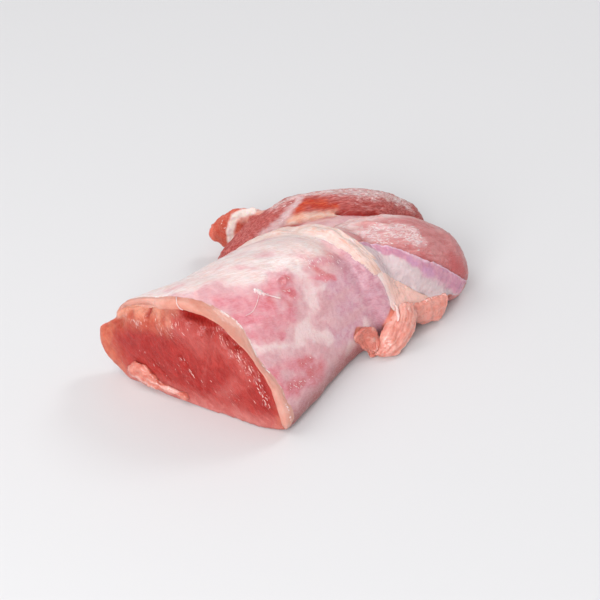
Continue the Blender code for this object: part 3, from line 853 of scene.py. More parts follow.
# %% Colour the cut flesh
cut_red = layered(tree, blend(tree, crumb["Bundles"], rgb(0.42, 0.022, 0.016), rgb(0.54, 0.048, 0.037)), [
    ("deep", blend(tree, crumb["Bundles"], rgb(0.36, 0.006, 0.004), rgb(0.44, 0.012, 0.009)), 0.9),
    ("dusk", rgb(0.61, 0.12, 0.105), 0.8),
    # the paler foot, partly painted light
    ("low", rgb(0.70, 0.23, 0.205), 0.9),
    ("cheek", rgb(0.70, 0.18, 0.10), 1.0),
    (crumb["Streaks"], rgb(0.72, 0.15, 0.125), 0.12),
    (cloudy, rgb(0.47, 0.022, 0.017), 0.35),
    # peach folds under the rim; at the far left corner this is partly painted light
    ("lobe", rgb(0.92, 0.41, 0.285), 0.9),
    # painted shade in the cracks, the crease and under the rim
    ("shaded_gaps", rgb(0.38, 0.010, 0.007), 0.85),
])
print("nodes so far:", len(tree.nodes))

# %% [markdown]
# ## The silver skin's colours
# Silver skin is a clear sheet over dark flesh, so it looks lilac where it is thick, rose where blood lies
# under it and cream where fat does. The bay beside the seam faces the light and is painted darker for it.

# %% Colour the silver skin
rosy = times(tree, painted(tree, "rose"), spread(tree, smear["Bundles"], 0.0, 1.0, 0.72, 1.0))
creamy = times(tree, painted(tree, "cream"), smear["Streaks"])
creamy_hair = times(tree, painted(tree, "cream"), hair["Streaks"])
ring_lines = times(tree, painted(tree, "near_seam"), ringed["Streaks"])
skin_pink = layered(tree, blend(tree, patch, rgb(0.70, 0.36, 0.39), rgb(0.79, 0.47, 0.49)), [
    ("lilac", blend(tree, cloudy, rgb(0.66, 0.31, 0.40), rgb(0.74, 0.45, 0.51)), 0.92),
    ("pale", rgb(0.88, 0.66, 0.65), 0.92),
    (rosy, blend(tree, cloudy, rgb(0.69, 0.17, 0.215), rgb(0.77, 0.27, 0.32)), 1.0),
    ("dark_spots", rgb(0.62, 0.09, 0.10), 0.7),
    # painted shade on the bay beside the seam
    ("bay", blend(tree, cloudy, rgb(0.45, 0.19, 0.24), rgb(0.53, 0.27, 0.33)), 0.9),
    # painted shade along the foot of the skin, by the table
    ("foot", rgb(0.30, 0.045, 0.038), 0.95),
    (speck, rgb(0.64, 0.17, 0.23), 0.16),
    ("cream", rgb(0.735, 0.61, 0.59), 0.95),
    (creamy, rgb(0.83, 0.50, 0.44), 0.55),
    (creamy_hair, rgb(0.90, 0.85, 0.84), 0.65),
    (ring_lines, rgb(0.86, 0.56, 0.48), 0.3),
    (hair["Streaks"], rgb(0.90, 0.68, 0.70), 0.16),
])
print("nodes so far:", len(tree.nodes))

# %% [markdown]
# ## The other muscles' colours
# The trimmed muscles show bare fibres, brick red on the chain and pinker on the side muscle, with a white
# frosting of torn membrane where the knife has only scraped them. On the muscles' tops that frosting is
# partly a painted sheen.

# %% Colour the other muscles
frosting_and_sheen = times(tree, painted(tree, "frost_and_sheen"), spread(tree, hair["Streaks"], 0.0, 1.0, 0.3, 1.0))
side_pink = layered(tree, blend(tree, thread["Bundles"], rgb(0.65, 0.185, 0.185), rgb(0.77, 0.295, 0.295)), [
    (hair["Streaks"], rgb(0.74, 0.38, 0.38), 0.35),
    ("dusk", rgb(0.62, 0.115, 0.12), 0.85),
    ("front_pink", blend(tree, smear["Streaks"], rgb(0.82, 0.43, 0.41), rgb(0.95, 0.76, 0.74)), 0.95),
    # white frosting, partly painted sheen
    (frosting_and_sheen, rgb(0.91, 0.61, 0.61), 1.0),
    # painted highlight on the top edge
    ("edge_highlight", rgb(0.86, 0.52, 0.50), 0.7),
])
chain_red = layered(tree, blend(tree, hair["Streaks"], rgb(0.44, 0.052, 0.042), rgb(0.70, 0.205, 0.185)), [
    (thread["Bundles"], rgb(0.46, 0.05, 0.04), 0.4),
    # white frosting, partly painted sheen
    (frosting_and_sheen, rgb(0.92, 0.68, 0.67), 1.0),
])
web_pale = layered(tree, blend(tree, patch, rgb(0.76, 0.36, 0.34), rgb(0.86, 0.58, 0.56)), [
    (smear["Streaks"], rgb(0.92, 0.74, 0.72), 0.5),
    ("front_pink", blend(tree, hair["Streaks"], rgb(0.84, 0.50, 0.47), rgb(0.96, 0.78, 0.75)), 0.9),
])
ear_red = layered(tree, blend(tree, hair["Streaks"], rgb(0.66, 0.095, 0.055), rgb(0.78, 0.19, 0.12)), [
    ("ear_pale", blend(tree, patch, rgb(0.84, 0.38, 0.31), rgb(0.89, 0.52, 0.45)), 1.0),
    ("ear_fat", rgb(1.0, 0.83, 0.77), 1.0),
])
print("nodes so far:", len(tree.nodes))

# %% Lay one over the other
base = layered(tree, web_pale, [
    ("chain", chain_red, 1.0),
    ("side", side_pink, 1.0),
    ("orange", blend(tree, hair["Streaks"], rgb(0.54, 0.034, 0.015), rgb(0.74, 0.11, 0.042)), 1.0),
    ("fat", blend(tree, patch, rgb(0.97, 0.52, 0.38), rgb(0.95, 0.66, 0.56)), 1.0),
    ("fascia", blend(tree, thread["Streaks"], rgb(0.80, 0.52, 0.52), rgb(0.84, 0.66, 0.67)), 0.9),
    ("skin", skin_pink, 1.0),
    ("ear", ear_red, 1.0),
    ("salmon", rgb(0.78, 0.24, 0.17), 1.0),
    ("cut", cut_red, 1.0),
    # painted shade in the gaps and grooves, on and off the cut
    ("shaded_gaps", rgb(0.46, 0.020, 0.014), 0.9),
    # painted shade in the ear's hollow
    ("ear_hollow", rgb(0.34, 0.02, 0.02), 0.9),
])
smooth_skin = spread(tree, painted(tree, "skin"), 0.0, 1.0, 0.6, 0.06)
height = sums(tree, "ADD", times(tree, hair["Streaks"], smooth_skin), times(tree, film["Height"], 0.6))
height = sums(tree, "ADD", height, times(tree, ring_lines, 0.15))
height = times(tree, height, sums(tree, "SUBTRACT", 1.0, painted(tree, "border")))
finish_surface(tree, shader, base, height, 0.5, 0.3, 0.5, film["Pools"])
meat_body = make_piece("meat_body", body, body_faces, flesh, grain, masks)
meat_body.data.attributes.new("ring", "FLOAT_VECTOR", "POINT").data.foreach_set("vector", np.ravel(ring))

# %% [markdown]
# ## The rim of the cut
# Round the cut face the skin and its fat show their own thickness as a smooth peach band that has sprung
# back and curled over the flesh. It is a strip: its back edge lies on the skin, its front edge rolls over
# the flesh and tucks under. We give the line where it leaves the skin and the line of its lip.

# %% The fat's finish
# the pale colour of the fat's hem, which on the rim is also a painted highlight line
HEM_AND_HIGHLIGHT_COLOUR = rgb(0.94, 0.80, 0.78)


def fat_material(name, deep_colour, pale_colour, fleck_colour, tint_colour, coat, size=3.0, lines=0.3,
                 depth=1.2):
    """Fat: cloudy, a little see-through, with flecks and fine lines, and a tint and a pale hem by masks; on
    the rim that pale hem is partly a painted highlight line.
    """
    material, tree, shader = meat_material(name, depth, 0.4, coat, 0.12)
    mm = place_in_mm(tree)
    thread = use(tree, fibres, Grain=grain_of(tree), Fineness=1.1, Length=5.0)
    patch = use(tree, blotches, Place=mm, Size=size, Cover=0.5, Softness=0.14)["Patches"]
    fleck = use(tree, blotches, Place=mm, Size=2.2, Cover=0.36, Softness=0.06)["Patches"]
    film = use(tree, wet_film, Grain=mm, Ripple=0.6)
    base = layered(tree, blend(tree, patch, deep_colour, pale_colour), [
        (thread["Streaks"], pale_colour, lines), (fleck, fleck_colour, 0.5),
        ("tint", tint_colour, 1.0), ("hem_and_highlight", HEM_AND_HIGHLIGHT_COLOUR, 1.0),
    ])
    height = sums(tree, "ADD", times(tree, thread["Streaks"], 2 * lines), film["Height"])
    finish_surface(tree, shader, base, height, 0.35, 0.28, 0.44, film["Pools"])
    return material


rim_fat = fat_material("rim_fat", rgb(0.64, 0.25, 0.18), rgb(0.70, 0.33, 0.255), rgb(0.67, 0.275, 0.21),
                       rgb(0.68, 0.125, 0.075), 0.35, 6.0, 0.15)

# %% Trace the rim
RIM = [
    # the x, y and z where it leaves the skin, then the lip's x and z
    (-32.0, -71.2, 28.8, -31.6, 28.6), (-31.2, -71.5, 30.6, -30.0, 29.8), (-29.8, -71.9, 32.6, -28.6, 31.0),
    (-27.1, -71.9, 34.9, -26.2, 32.0), (-24.6, -71.5, 36.3, -23.8, 32.8), (-22.4, -71.1, 37.3, -21.8, 32.6),
    (-19.5, -71.3, 38.4, -18.9, 33.2), (-16.9, -71.5, 39.0, -16.4, 34.8), (-14.9, -71.4, 39.6, -14.4, 35.4),
    (-13.0, -71.2, 40.3, -12.6, 35.6), (-11.1, -70.9, 41.0, -10.8, 36.2),
    (-8.0, -70.6, 41.7, -7.8, 37.2), (-4.8, -70.4, 42.2, -4.2, 38.4), (-0.3, -69.3, 42.4, 0.6, 38.8),
    (5.5, -68.3, 41.3, 6.4, 38.8), (11.4, -67.5, 38.7, 11.6, 37.0), (15.4, -67.5, 36.5, 15.2, 34.6),
    (19.1, -68.5, 34.2, 18.4, 32.2), (23.3, -70.5, 30.2, 22.0, 29.4), (26.8, -71.6, 26.1, 25.4, 25.6),
    (30.8, -71.1, 22.2, 28.6, 21.6), (34.0, -70.7, 18.2, 31.0, 17.2), (35.9, -71.2, 14.2, 32.2, 12.8),
    (37.6, -70.5, 10.2, 33.2, 9.2), (38.4, -69.8, 6.6, 34.2, 6.1), (37.8, -71.0, 3.0, 35.0, 3.0),
    (36.6, -71.7, 1.2, 35.4, 0.8),
]
RIM_STEPS, RIM_ACROSS, RIM_MELTING = 280, 36, 24
rim_rows = curve(RIM, RIM_STEPS)
skin_line, lip = rim_rows[:, :3], rim_rows[:, 3:] + (0.4, 1.1)
rim_ends = fade(np.arange(RIM_STEPS), 0, 22) * fade(np.arange(RIM_STEPS), RIM_STEPS - 1, RIM_STEPS - 12)
rim_arc = np.concatenate([[0], np.cumsum(np.linalg.norm(np.diff(skin_line, axis=0), axis=1))])
print(f"rim: {rim_arc[-1]:.0f} mm long")


# %% Roll the rim
def rim_line(share, proud):
    """A line this share of the way from the skin line to the lip, that stands proud of the cut."""
    flat = skin_line[:, [0, 2]] * (1 - share) + lip * share
    depth = CUT_Y + 0.6 - (proud + 0.6) * rim_ends
    return np.column_stack([flat[:, 0], depth, flat[:, 1]])


def rim_on_cut(share, proud):
    """The same line, laid on the cut face as it is."""
    flat = skin_line[:, [0, 2]] * (1 - share) + lip * share
    return np.array([on_cut(*place, proud) for place in flat])


soft_lip = fade(lip[:, 0], -14.2, -16.2)[:, None]
across_rim = np.array([
    on_body(skin_line + (0, 2.2, 0), -0.5),
    on_body(skin_line + (0, 0.9, 0), -0.08),
    on_body(skin_line, 0.1),
    0.5 * on_body(skin_line, 0.3) + 0.5 * rim_line(0.1, 0.1),
    rim_line(0.25, 0.3) * (1 - soft_lip) + rim_on_cut(0.3, 0.6) * soft_lip,
    rim_line(0.6, 0.6) * (1 - soft_lip) + rim_on_cut(0.6, 0.5) * soft_lip,
    rim_line(0.9, 0.5) * (1 - soft_lip) + rim_on_cut(0.86, 0.25) * soft_lip,
    rim_line(1.0, 0.0) * (1 - soft_lip) + rim_on_cut(1.0, -0.3) * soft_lip,
    rim_line(0.95, -0.8),
    rim_line(0.6, -2.8),
])
for _ in range(RIM_MELTING):
    across_rim[:, 1:-1] = (across_rim[:, :-2] + 2 * across_rim[:, 1:-1] + across_rim[:, 2:]) / 4
rim = np.stack([curve(across_rim[:, i], RIM_ACROSS) for i in range(RIM_STEPS)]).reshape(-1, 3)
rim[:, 1] += 0.35 * rough(rim, 4.0, 22.0)
rim[:, 2] = np.maximum(rim[:, 2], 0.05)
rim_grain = np.stack([
    np.repeat(rim_arc[:, None], RIM_ACROSS, 1),
    np.repeat(np.linspace(0, 12, RIM_ACROSS)[None], RIM_STEPS, 0),
    np.zeros((RIM_STEPS, RIM_ACROSS)),
], -1).reshape(-1, 3)
print("rim: y from", rim[:, 1].min().round(1), "to", rim[:, 1].max().round(1))

# %% Colour and lay the rim
down_band = np.tile(np.linspace(0, 1, RIM_ACROSS), RIM_STEPS)
along_band = np.repeat(np.linspace(0, 1, RIM_STEPS), RIM_ACROSS)
rim_x = rim[:, 0]
tint = fade(down_band, 0.40, 0.78) * (0.42 - 0.17 * fade(along_band, 0.35, 0.7))
tint = tint * (1 - fade(rim_x, -9, -15)) + 0.5 * fade(rim_x, -28, -32)
broken = fade(rough(rim, 3.0, 25.0, 3), -0.25, 0.1)
# a painted highlight: a thin broken pale line along the rim's outer edge
highlight_line = fade(np.abs(down_band - 0.2), 0.06, 0.0) * fade(rim_x, 1, 6) * fade(rim_x, 37, 33) * broken
hem_and_highlight = np.max([highlight_line, 0.10 * fade(rim_x, 10, 24), 0.12 * fade(rim_x, -8, -16)], axis=0)
make_piece("cut_rim", rim, grid_faces(RIM_STEPS, RIM_ACROSS), rim_fat, rim_grain, {"tint": tint, "hem_and_highlight": hem_and_highlight})

# %% [markdown]
# ## Beads of juice
# Juice stands on the cut in tiny beads between the fibre ends, in rows along the fibres, and each bead
# makes a glint. They are too small for bump, so each is a small drop of its own, all in one mesh. Their
# pale colour is a painted glint, and the beads on the muscles are painted nearly white.

# %% The juice's finish
juice, tree, shader = meat_material("juice", 0.8, 0.3, 1.0, 0.03)
film = use(tree, wet_film, Grain=place_in_mm(tree), Ripple=1.5)
# the beads' pale colour is a painted glint
glint_colour = blend(tree, film["Pools"], rgb(0.86, 0.34, 0.29), rgb(0.92, 0.56, 0.51))
finish_surface(tree, shader, blend(tree, painted(tree, "white_glint"), glint_colour, rgb(0.97, 0.80, 0.78)),
               film["Height"], 0.1, 0.06, 0.12, film["Pools"])

# %% Say where the beads lie
BEADS = [
    # two (x, z) ends of a band on the cut, its half width, how many beads and how steeply they lie
    ((-33.5, 26.4), (-21, 27.2), 1.9, 56, 76), ((-16, 30.4), (-8, 27.2), 2.0, 34, 66),
    ((-13.4, 30), (-13.2, 24.5), 0.5, 12, 84), ((-9, 33.5), (-3, 31.5), 2.0, 18, 56),
    ((8, 33.4), (15, 29.4), 2.0, 32, 56), ((15, 29.0), (25, 19.5), 2.2, 56, 56),
    ((25, 19.5), (30.4, 9), 1.8, 30, 60), ((-16.5, 12.4), (-9.4, 7.2), 0.5, 8, 44),
    ((-5, 19.4), (3.4, 11.4), 0.6, 8, 46), ((-28, 15), (26, 9), 6.0, 26, 52),
]
frost_and_sheen, rose, dark_spots = masks["frost_and_sheen"], masks["rose"], masks["dark_spots"]
GLINTS = [
    # where the meat is frosted, with its painted sheen, or torn; how many beads and which way they lie
    (frost_and_sheen * side, 300, (0.75, 0.62, 0.0)), (frost_and_sheen * chain, 200, (0.6, 0.8, -0.1)),
    (near_seam * rose, 26, (0.8, -0.2, -0.5)), (dark_spots * rose, 26, (0.8, 0.4, -0.3)),
    (chain * (x < -16), 50, (0.5, 0.8, 0.3)),
]
print("beads:", sum(row[3] for row in BEADS), "on the cut and", sum(row[1] for row in GLINTS), "elsewhere")

# %% Shape a bead
# a drop is three rings of eight points, from its foot up, and a point on top
SIDES, DROP_POINTS = 8, 25
drop_turns = np.linspace(0, 2 * math.pi, SIDES + 1)[:-1]
drop_rings = [(a, b) for a in (0.0, 0.6, 1.1) for b in drop_turns] + [(math.pi / 2, 0.0)]
drop_faces = [(r + k, r + (k + 1) % SIDES, r + SIDES + (k + 1) % SIDES, r + SIDES + k)
              for r in (0, SIDES) for k in range(SIDES)]
drop_faces += [(16 + k, 16 + (k + 1) % SIDES, DROP_POINTS - 1) for k in range(SIDES)]
random = np.random.default_rng(5)
bead_points, bead_faces = [], []


def add_bead(spot, ahead, long, slim):
    """One long drop on the body nearest to a spot, pointing that way."""
    found, normal, _, _ = body_tree.find_nearest(Vector(spot))
    away = np.array(normal)
    ahead = unit(ahead - away * (ahead @ away))
    beside = np.cross(away, ahead)
    bead_faces.extend(tuple(i + DROP_POINTS * len(bead_points) for i in f) for f in drop_faces)
    bead_points.append([np.array(found) + away * (0.5 * slim * math.sin(a) - 0.02)
                        + math.cos(a) * (ahead * long * math.cos(b) + beside * slim * math.sin(b))
                        for a, b in drop_rings])


print("a bead:", len(drop_rings), "points,", len(drop_faces), "faces")

# %% Scatter the beads
for start, end, half_width, amount, steep in BEADS:
    for _ in range(amount):
        spot = np.array(start) + (np.array(end) - np.array(start)) * random.random()
        spot = spot + random.normal(0, 0.5, 2) * half_width
        turn = math.radians(-steep + random.normal(0, 8))
        add_bead(on_cut(*spot, 0), np.array([math.cos(turn), 0, math.sin(turn)]),
                 random.uniform(0.25, 1.0), random.uniform(0.07, 0.13))
cut_beads = len(bead_points)
for where, amount, way in GLINTS:
    chance = where**2 / np.sum(where**2)
    for place in random.choice(count, amount, p=chance):
        add_bead(body[place], np.array(way) + random.normal(0, 0.25, 3),
                 random.uniform(0.2, 0.8), random.uniform(0.10, 0.17))
bead_points = np.array(bead_points).reshape(-1, 3)
# the beads off the cut get a near-white painted glint
white_glint = (np.arange(len(bead_points)) >= DROP_POINTS * cut_beads).astype(float)
make_piece("juice_beads", bead_points, bead_faces, juice, bead_points, {"white_glint": white_glint})

# %% [markdown]
# ## The seam's fat
# Behind the main muscle, fat fills the seam as a soft band of flattened strands, broad on top and narrow
# down the side. It is a sheet between two lines, laid on the body, and its edges dip into the flesh. Where
# it crosses a hollow it stretches straight over, and at its thin left end it rests on the skin.

# %% Lay a sheet on the body
SEAM_MIDDLE = np.array([8.0, 0.0, 5.0])


def between(first_line, second_line, along, across):
    """Points from one line to another, and for each its mm along, its share across and its grain."""
    first, second = curve(first_line, along), curve(second_line, along)
    v = np.linspace(0, 1, across)[None, :, None]
    points = (first[:, None] * (1 - v) + second[:, None] * v).reshape(-1, 3)
    middle = (first + second) / 2
    arc = np.concatenate([[0], np.cumsum(np.linalg.norm(np.diff(middle, axis=0), axis=1))])
    u = np.repeat(arc[:, None], across, 1).ravel()
    v = np.tile(np.linspace(0, 1, across), along)
    width = np.repeat(np.linalg.norm(second - first, axis=1)[:, None], across, 1).ravel()
    return points, u, v, np.column_stack([u, v * width, 0 * u])


def stretched(points, least):
    """The points as they are, but no nearer to the body than that many mm out of it."""
    kept = []
    for point in points:
        spot, normal, _, _ = body_tree.find_nearest(Vector(point))
        spot, normal = np.array(spot), np.array(normal)
        kept.append(point if (point - spot) @ normal > least else spot + normal * least)
    return np.array(kept)


def puffed(points, along, across, height):
    """A sheet moved outwards by a height at each point."""
    grid = points.reshape(along, across, 3)
    normal = unit(np.cross(np.gradient(grid, axis=0), np.gradient(grid, axis=1))).reshape(-1, 3)
    away = (points - SEAM_MIDDLE) * (1, 0, 1)
    normal *= np.sign(np.sum(normal * away, axis=1, keepdims=True))
    return points + normal * np.broadcast_to(height, len(points))[:, None]


# %% The seam's finishes
cream_fat = fat_material("cream_fat", rgb(0.83, 0.57, 0.50), rgb(0.90, 0.71, 0.66), rgb(0.86, 0.54, 0.44),
                         rgb(0.82, 0.46, 0.37), 0.3)
peach_skin = fat_material("peach_skin", rgb(0.88, 0.58, 0.52), rgb(0.90, 0.67, 0.62), rgb(0.90, 0.62, 0.56),
                          rgb(0.88, 0.54, 0.47), 0.3, lines=0.1)
torn_skin = fat_material("torn_skin", rgb(0.88, 0.62, 0.62), rgb(0.92, 0.74, 0.74), rgb(0.90, 0.60, 0.60),
                         rgb(0.90, 0.52, 0.44), 0.8, depth=0.3)

# %% Trace the seam's fat
SEAM_FRONT = [(-27, -14, 18), (-21, -15, 23.4), (-13, -13.6, 28.8), (-4, -10.5, 33), (4, -9.5, 35.8),
              (10, -8.5, 36.6), (16, -8, 36.8), (24.6, -8.1, 34.9), (30.3, -8.5, 32.5), (34.5, -8.2, 29.5),
              (38.0, -7.4, 26)]
SEAM_BACK = [(-27, -13, 17.4), (-20, -8, 21.6), (-13, -3, 25.6), (-6, 2, 29), (2, 3.5, 32.5),
             (9.8, 3.1, 35), (19.8, 0.7, 36.8), (25, 1, 34.6), (30.8, 0, 32.2), (35.4, -1.2, 29.2),
             (39.2, -4.4, 25.6)]
PEACH_LEFT = [(34.6, -7.0, 29.6), (39.0, -6.8, 25.4), (42.1, -7.0, 20.2), (43.7, -7, 16), (45.2, -5.6, 12.8)]
PEACH_RIGHT = [(34.6, -0.8, 30.0), (39.4, 1.4, 23.8), (44.0, 4.6, 19), (47.4, 8.4, 14.6), (50.6, 12.4, 11)]
print("the seam's fat starts and ends at", SEAM_FRONT[0], PEACH_LEFT[-1])


# %% Fill the seam
def fatty_sheet(name, material, front, back, long, tall, thick, seed, peach_from):
    """A sheet of fat in twisted strands, with a soft front edge and a fuller back edge."""
    points, u, v, sheet_grain = between(front, back, long, tall)
    v = np.clip(v + 0.07 * rough(points, 5.0, seed) * np.sin(math.pi * v), 0, 1)
    twisted = np.column_stack([u, sheet_grain[:, 1] + 0.16 * u, 0 * u])
    strands = rough(twisted, 2.6, seed + 1, 3, (9, 1, 1))
    full = fade(v, 0, 0.7) * fade(v, 1, 0.86) * (1 - 0.6 * fade(u, 50, 68))
    proud = full * (thick * (1 + 0.8 * strands) + 0.4 * rough(points, 5.0, seed + 2))
    end = u.max()
    proud = proud * fade(u, 0, 10) * fade(u, end, end - 9)
    tucked = 0.35 * np.maximum(fade(v, 0.04, 0), fade(v, 0.95, 1))
    proud -= tucked + 0.5 * fade(u, 4, 0) + 0.4 * fade(u, end - 3, end)
    vein = 0.8 * fade(np.abs(strands - 0.3), 0.09, 0.03)
    peach = np.maximum(vein, fade(u + 4 * rough(points, 5.0, seed + 3), *peach_from))
    resting = fade(u, 22, 8)[:, None]
    laid = on_body(points, 0.0) * resting + stretched(points, 0.0) * (1 - resting)
    laid = puffed(laid, long, tall, proud)
    soft_front = 0.45 * fade(v + 0.1 * strands, 0.4, 0.05) * fade(u, 60, 40)
    make_piece(name, laid, grid_faces(long, tall), material, sheet_grain, {"tint": peach, "hem_and_highlight": soft_front})


fatty_sheet("seam_fat", cream_fat, SEAM_FRONT, SEAM_BACK, 230, 46, 0.9, 31, (58, 86))
fatty_sheet("peach_fat", peach_skin, PEACH_LEFT, PEACH_RIGHT, 90, 60, 0.5, 36, (4, 12))

# %% [markdown]
# ## Tubes and slabs
# Two of the flaps, the fold and the strands are long closed shapes, so one function builds them all. It
# strings rings along a line and rounds off both ends. A rope gives each ring's width by number, and a slab
# spans two edges in space. Both also return a grain along their length, so that any finish can follow it.

# %% A closed tube
TUBE_SIDES = 44
THINNEST_END = 0.03


def closed_tube(centre, side, face, ends, square):
    """A closed tube of rings, each with a centre, a half width and a half thickness as arrows.

    It returns the points, the faces, each point's way out, and the grain: how far along, across and
    through the tube each point is, in mm. Each end rounds off over that many millimetres.
    """
    rings, columns = len(centre), TUBE_SIDES
    arc = np.concatenate([[0], np.cumsum(np.linalg.norm(np.diff(centre, axis=0), axis=1))])
    taper = np.ones(rings)
    for gap, length in ((arc, ends[0]), (arc[-1] - arc, ends[1])):
        taper *= np.sqrt(1 - (1 - np.clip(gap / length, THINNEST_END, 1)) ** 2)
    angle = np.linspace(0, 2 * math.pi, columns, endpoint=False)
    across = np.sign(np.cos(angle)) * np.abs(np.cos(angle)) ** (2 / square)
    through = np.sign(np.sin(angle)) * np.abs(np.sin(angle)) ** (2 / square)
    wide, thick = np.linalg.norm(side, axis=1), np.linalg.norm(face, axis=1)
    u, w = taper[:, None] * across, taper[:, None] * through
    ring = centre[:, None] + side[:, None] * u[..., None] + face[:, None] * w[..., None]
    sideways = side[:, None] * (u / wide[:, None] ** 2)[..., None]
    facing = face[:, None] * (w / thick[:, None] ** 2)[..., None]
    out = unit(sideways + facing)
    grain = np.stack([np.repeat(arc[:, None], columns, 1), wide[:, None] * u, thick[:, None] * w], -1)
    ahead = unit(np.gradient(centre, axis=0))
    points = np.concatenate([ring.reshape(-1, 3), centre[:1], centre[-1:]])
    out = np.concatenate([out.reshape(-1, 3), -ahead[:1], ahead[-1:]])
    grain = np.concatenate([grain.reshape(-1, 3), [[0, 0, 0]], [[arc[-1], 0, 0]]])
    faces = []
    for k in range(columns):
        j = (k + 1) % columns
        faces += [(r * columns + k, r * columns + j, (r + 1) * columns + j, (r + 1) * columns + k)
                  for r in range(rings - 1)]
        faces.append((j, k, rings * columns))
        faces.append(((rings - 1) * columns + k, (rings - 1) * columns + j, rings * columns + 1))
    return points, faces, out, grain


# %% Ropes and slabs
def rope(rows, rings=120, ends=(4.0, 4.0), square=2.2):
    """A tube along (x, y, z, half width, half thickness, lean) rows. A lean of 0 lays it flat."""
    c = curve(rows, rings)
    ahead = unit(np.gradient(c[:, :3], axis=0))
    flat = unit(np.cross(ahead, (0.0, 0.0, 1.0)))
    up = np.cross(flat, ahead)
    lean = np.radians(c[:, 5:6])
    side = flat * np.cos(lean) + up * np.sin(lean)
    face = up * np.cos(lean) - flat * np.sin(lean)
    return closed_tube(c[:, :3], side * c[:, 3:4], face * c[:, 4:5], ends, square)


def slab(first_edge, second_edge, thick, rings=120, ends=(2.0, 2.0), square=1.8):
    """A thin closed slab between two edges in space, of half thickness thick at each row."""
    a, b, t = curve(first_edge, rings), curve(second_edge, rings), curve(np.array(thick)[:, None], rings)
    centre, side = (a + b) / 2, (b - a) / 2
    face = unit(np.cross(side, np.gradient(centre, axis=0)))
    return closed_tube(centre, side, face * t, ends, square)


short_rope = rope([(0, 0, 0, 1, 1, 0), (10, 0, 0, 1, 1, 0)], 20)
print("points and faces of a short rope:", len(short_rope[0]), len(short_rope[1]))

# %% [markdown]
# ## The fat flaps
# Three soft flaps of salmon-coloured fat hang down on the right, wet and finely ridged along their length.
# Two are slabs between two edges, so that their sides come out thin and uneven. The near one is a sheet
# that lies on the body, with a little fullness.

# %% Hang the flaps
salmon_fat = fat_material("salmon_fat", rgb(0.83, 0.33, 0.26), rgb(0.88, 0.45, 0.38), rgb(0.91, 0.57, 0.51),
                          rgb(0.72, 0.19, 0.14), 0.9)
FLAPS = {
    # a name, its two edges, its half thicknesses, how deep its colour is and how high its ridges stand
    "flap_middle": (
        [(41.3, -3, 13.3), (43.0, -8, 11.2), (43.1, -12, 8.6), (42.8, -15.5, 4.7), (42.8, -19, 0.8)],
        [(46.8, 3.2, 13.3), (50.2, 0.7, 10.6), (51.6, -2.6, 7.1), (51.8, -7.7, 3.5), (49.6, -15.9, 0.7)],
        [2.9, 2.9, 2.8, 2.7, 2.1], 0.0, 0.5),
    "flap_far": (
        [(45, 0.6, 5.8), (48.4, 4.8, 2.6), (51.4, 8.6, 1.2), (53.6, 12.6, 1.4), (54.7, 16, 3.2)],
        [(45.6, 0.4, 12.6), (48.4, 7.2, 11.5), (50, 12.4, 10.9), (51.8, 17, 10.3), (53.6, 20.2, 9.2)],
        [2.9, 2.9, 2.8, 2.5, 2.1], 0.35, 0.2),
}
for number, (name, (low_edge, high_edge, thick, deep_tint, ridge)) in enumerate(FLAPS.items()):
    points, faces, way_out, flap_grain = slab(low_edge, high_edge, thick, 150, (1.6, 1.4), 1.7)
    skewed = flap_grain @ np.array([[1, 0.15, 0], [0, 1, 0], [0, 0, 1]])
    ridged = rough(skewed, 1.3, 50 + number, 3, (8, 1, 1))
    height = 0.6 * rough(points, 3.5, 53 + number, 3) + ridge * ridged
    points = points + way_out * height[:, None]
    points[:, 2] = np.maximum(points[:, 2], 0.05)
    # the flap's own deeper colour, and darker down the grooves between the ridges as painted shade
    deep_and_groove_shade = np.maximum(deep_tint, 0.6 * fade(ridged, 0.1, -0.4))
    make_piece(name, points, faces, salmon_fat, flap_grain, {"tint": deep_and_groove_shade})

# %% Lay the near flap
LEAF_TOP = [(37.3, -24.4, 10.2), (37.6, -21.0, 11.8), (38.3, -16.9, 11.3), (39.5, -13.6, 9.6),
            (41.0, -13.3, 7.2), (42.6, -14.0, 5.6), (43.6, -15.2, 4.2)]
LEAF_LOW = [(37.4, -24.2, 9.8), (38.2, -23.0, 7.6), (39.2, -21.2, 4.8), (40.6, -19.6, 1.8),
            (41.8, -20.0, 0.8), (42.8, -19.4, 0.5), (44.0, -18.0, 0.8)]
LEAF_LONG, LEAF_TALL = 110, 60
leaf, u, v, leaf_grain = between(LEAF_TOP, LEAF_LOW, LEAF_LONG, LEAF_TALL)
leaf += 0.8 * rough(leaf, 2.0, 57.0, 3)[:, None] * (0, 1, -0.6)
inside_leaf = np.minimum(np.minimum(v, 1 - v) * 9, np.minimum(u, u.max() - u))
leaf_height = 0.7 * fade(inside_leaf, 0.1, 0.6) - 0.3 * fade(inside_leaf, 0.3, 0)
leaf_relief = 0.2 * rough(leaf, 3.6, 58.0) + 0.16 * rough(leaf_grain, 1.4, 59.0, 3, (6, 1, 1))
leaf_height += leaf_relief * fade(inside_leaf, 0, 1)
leaf = puffed(stretched(leaf, 0.0), LEAF_LONG, LEAF_TALL, leaf_height)
leaf[:, 2] = np.maximum(leaf[:, 2], 0.05)
make_piece("flap_near", leaf, grid_faces(LEAF_LONG, LEAF_TALL), salmon_fat, leaf_grain,
           {"tint": 0.9 * fade(rough(leaf, 4.0, 60.0, 3), 0.45, -0.2)})

# %% [markdown]
# ## The membrane on the side muscle
# A thin grey-white membrane covers the lower side of the side muscle. Its top edge is torn loose and
# ruffled, and a band along that edge looks lilac. It is a sheet between two lines, laid on the body.

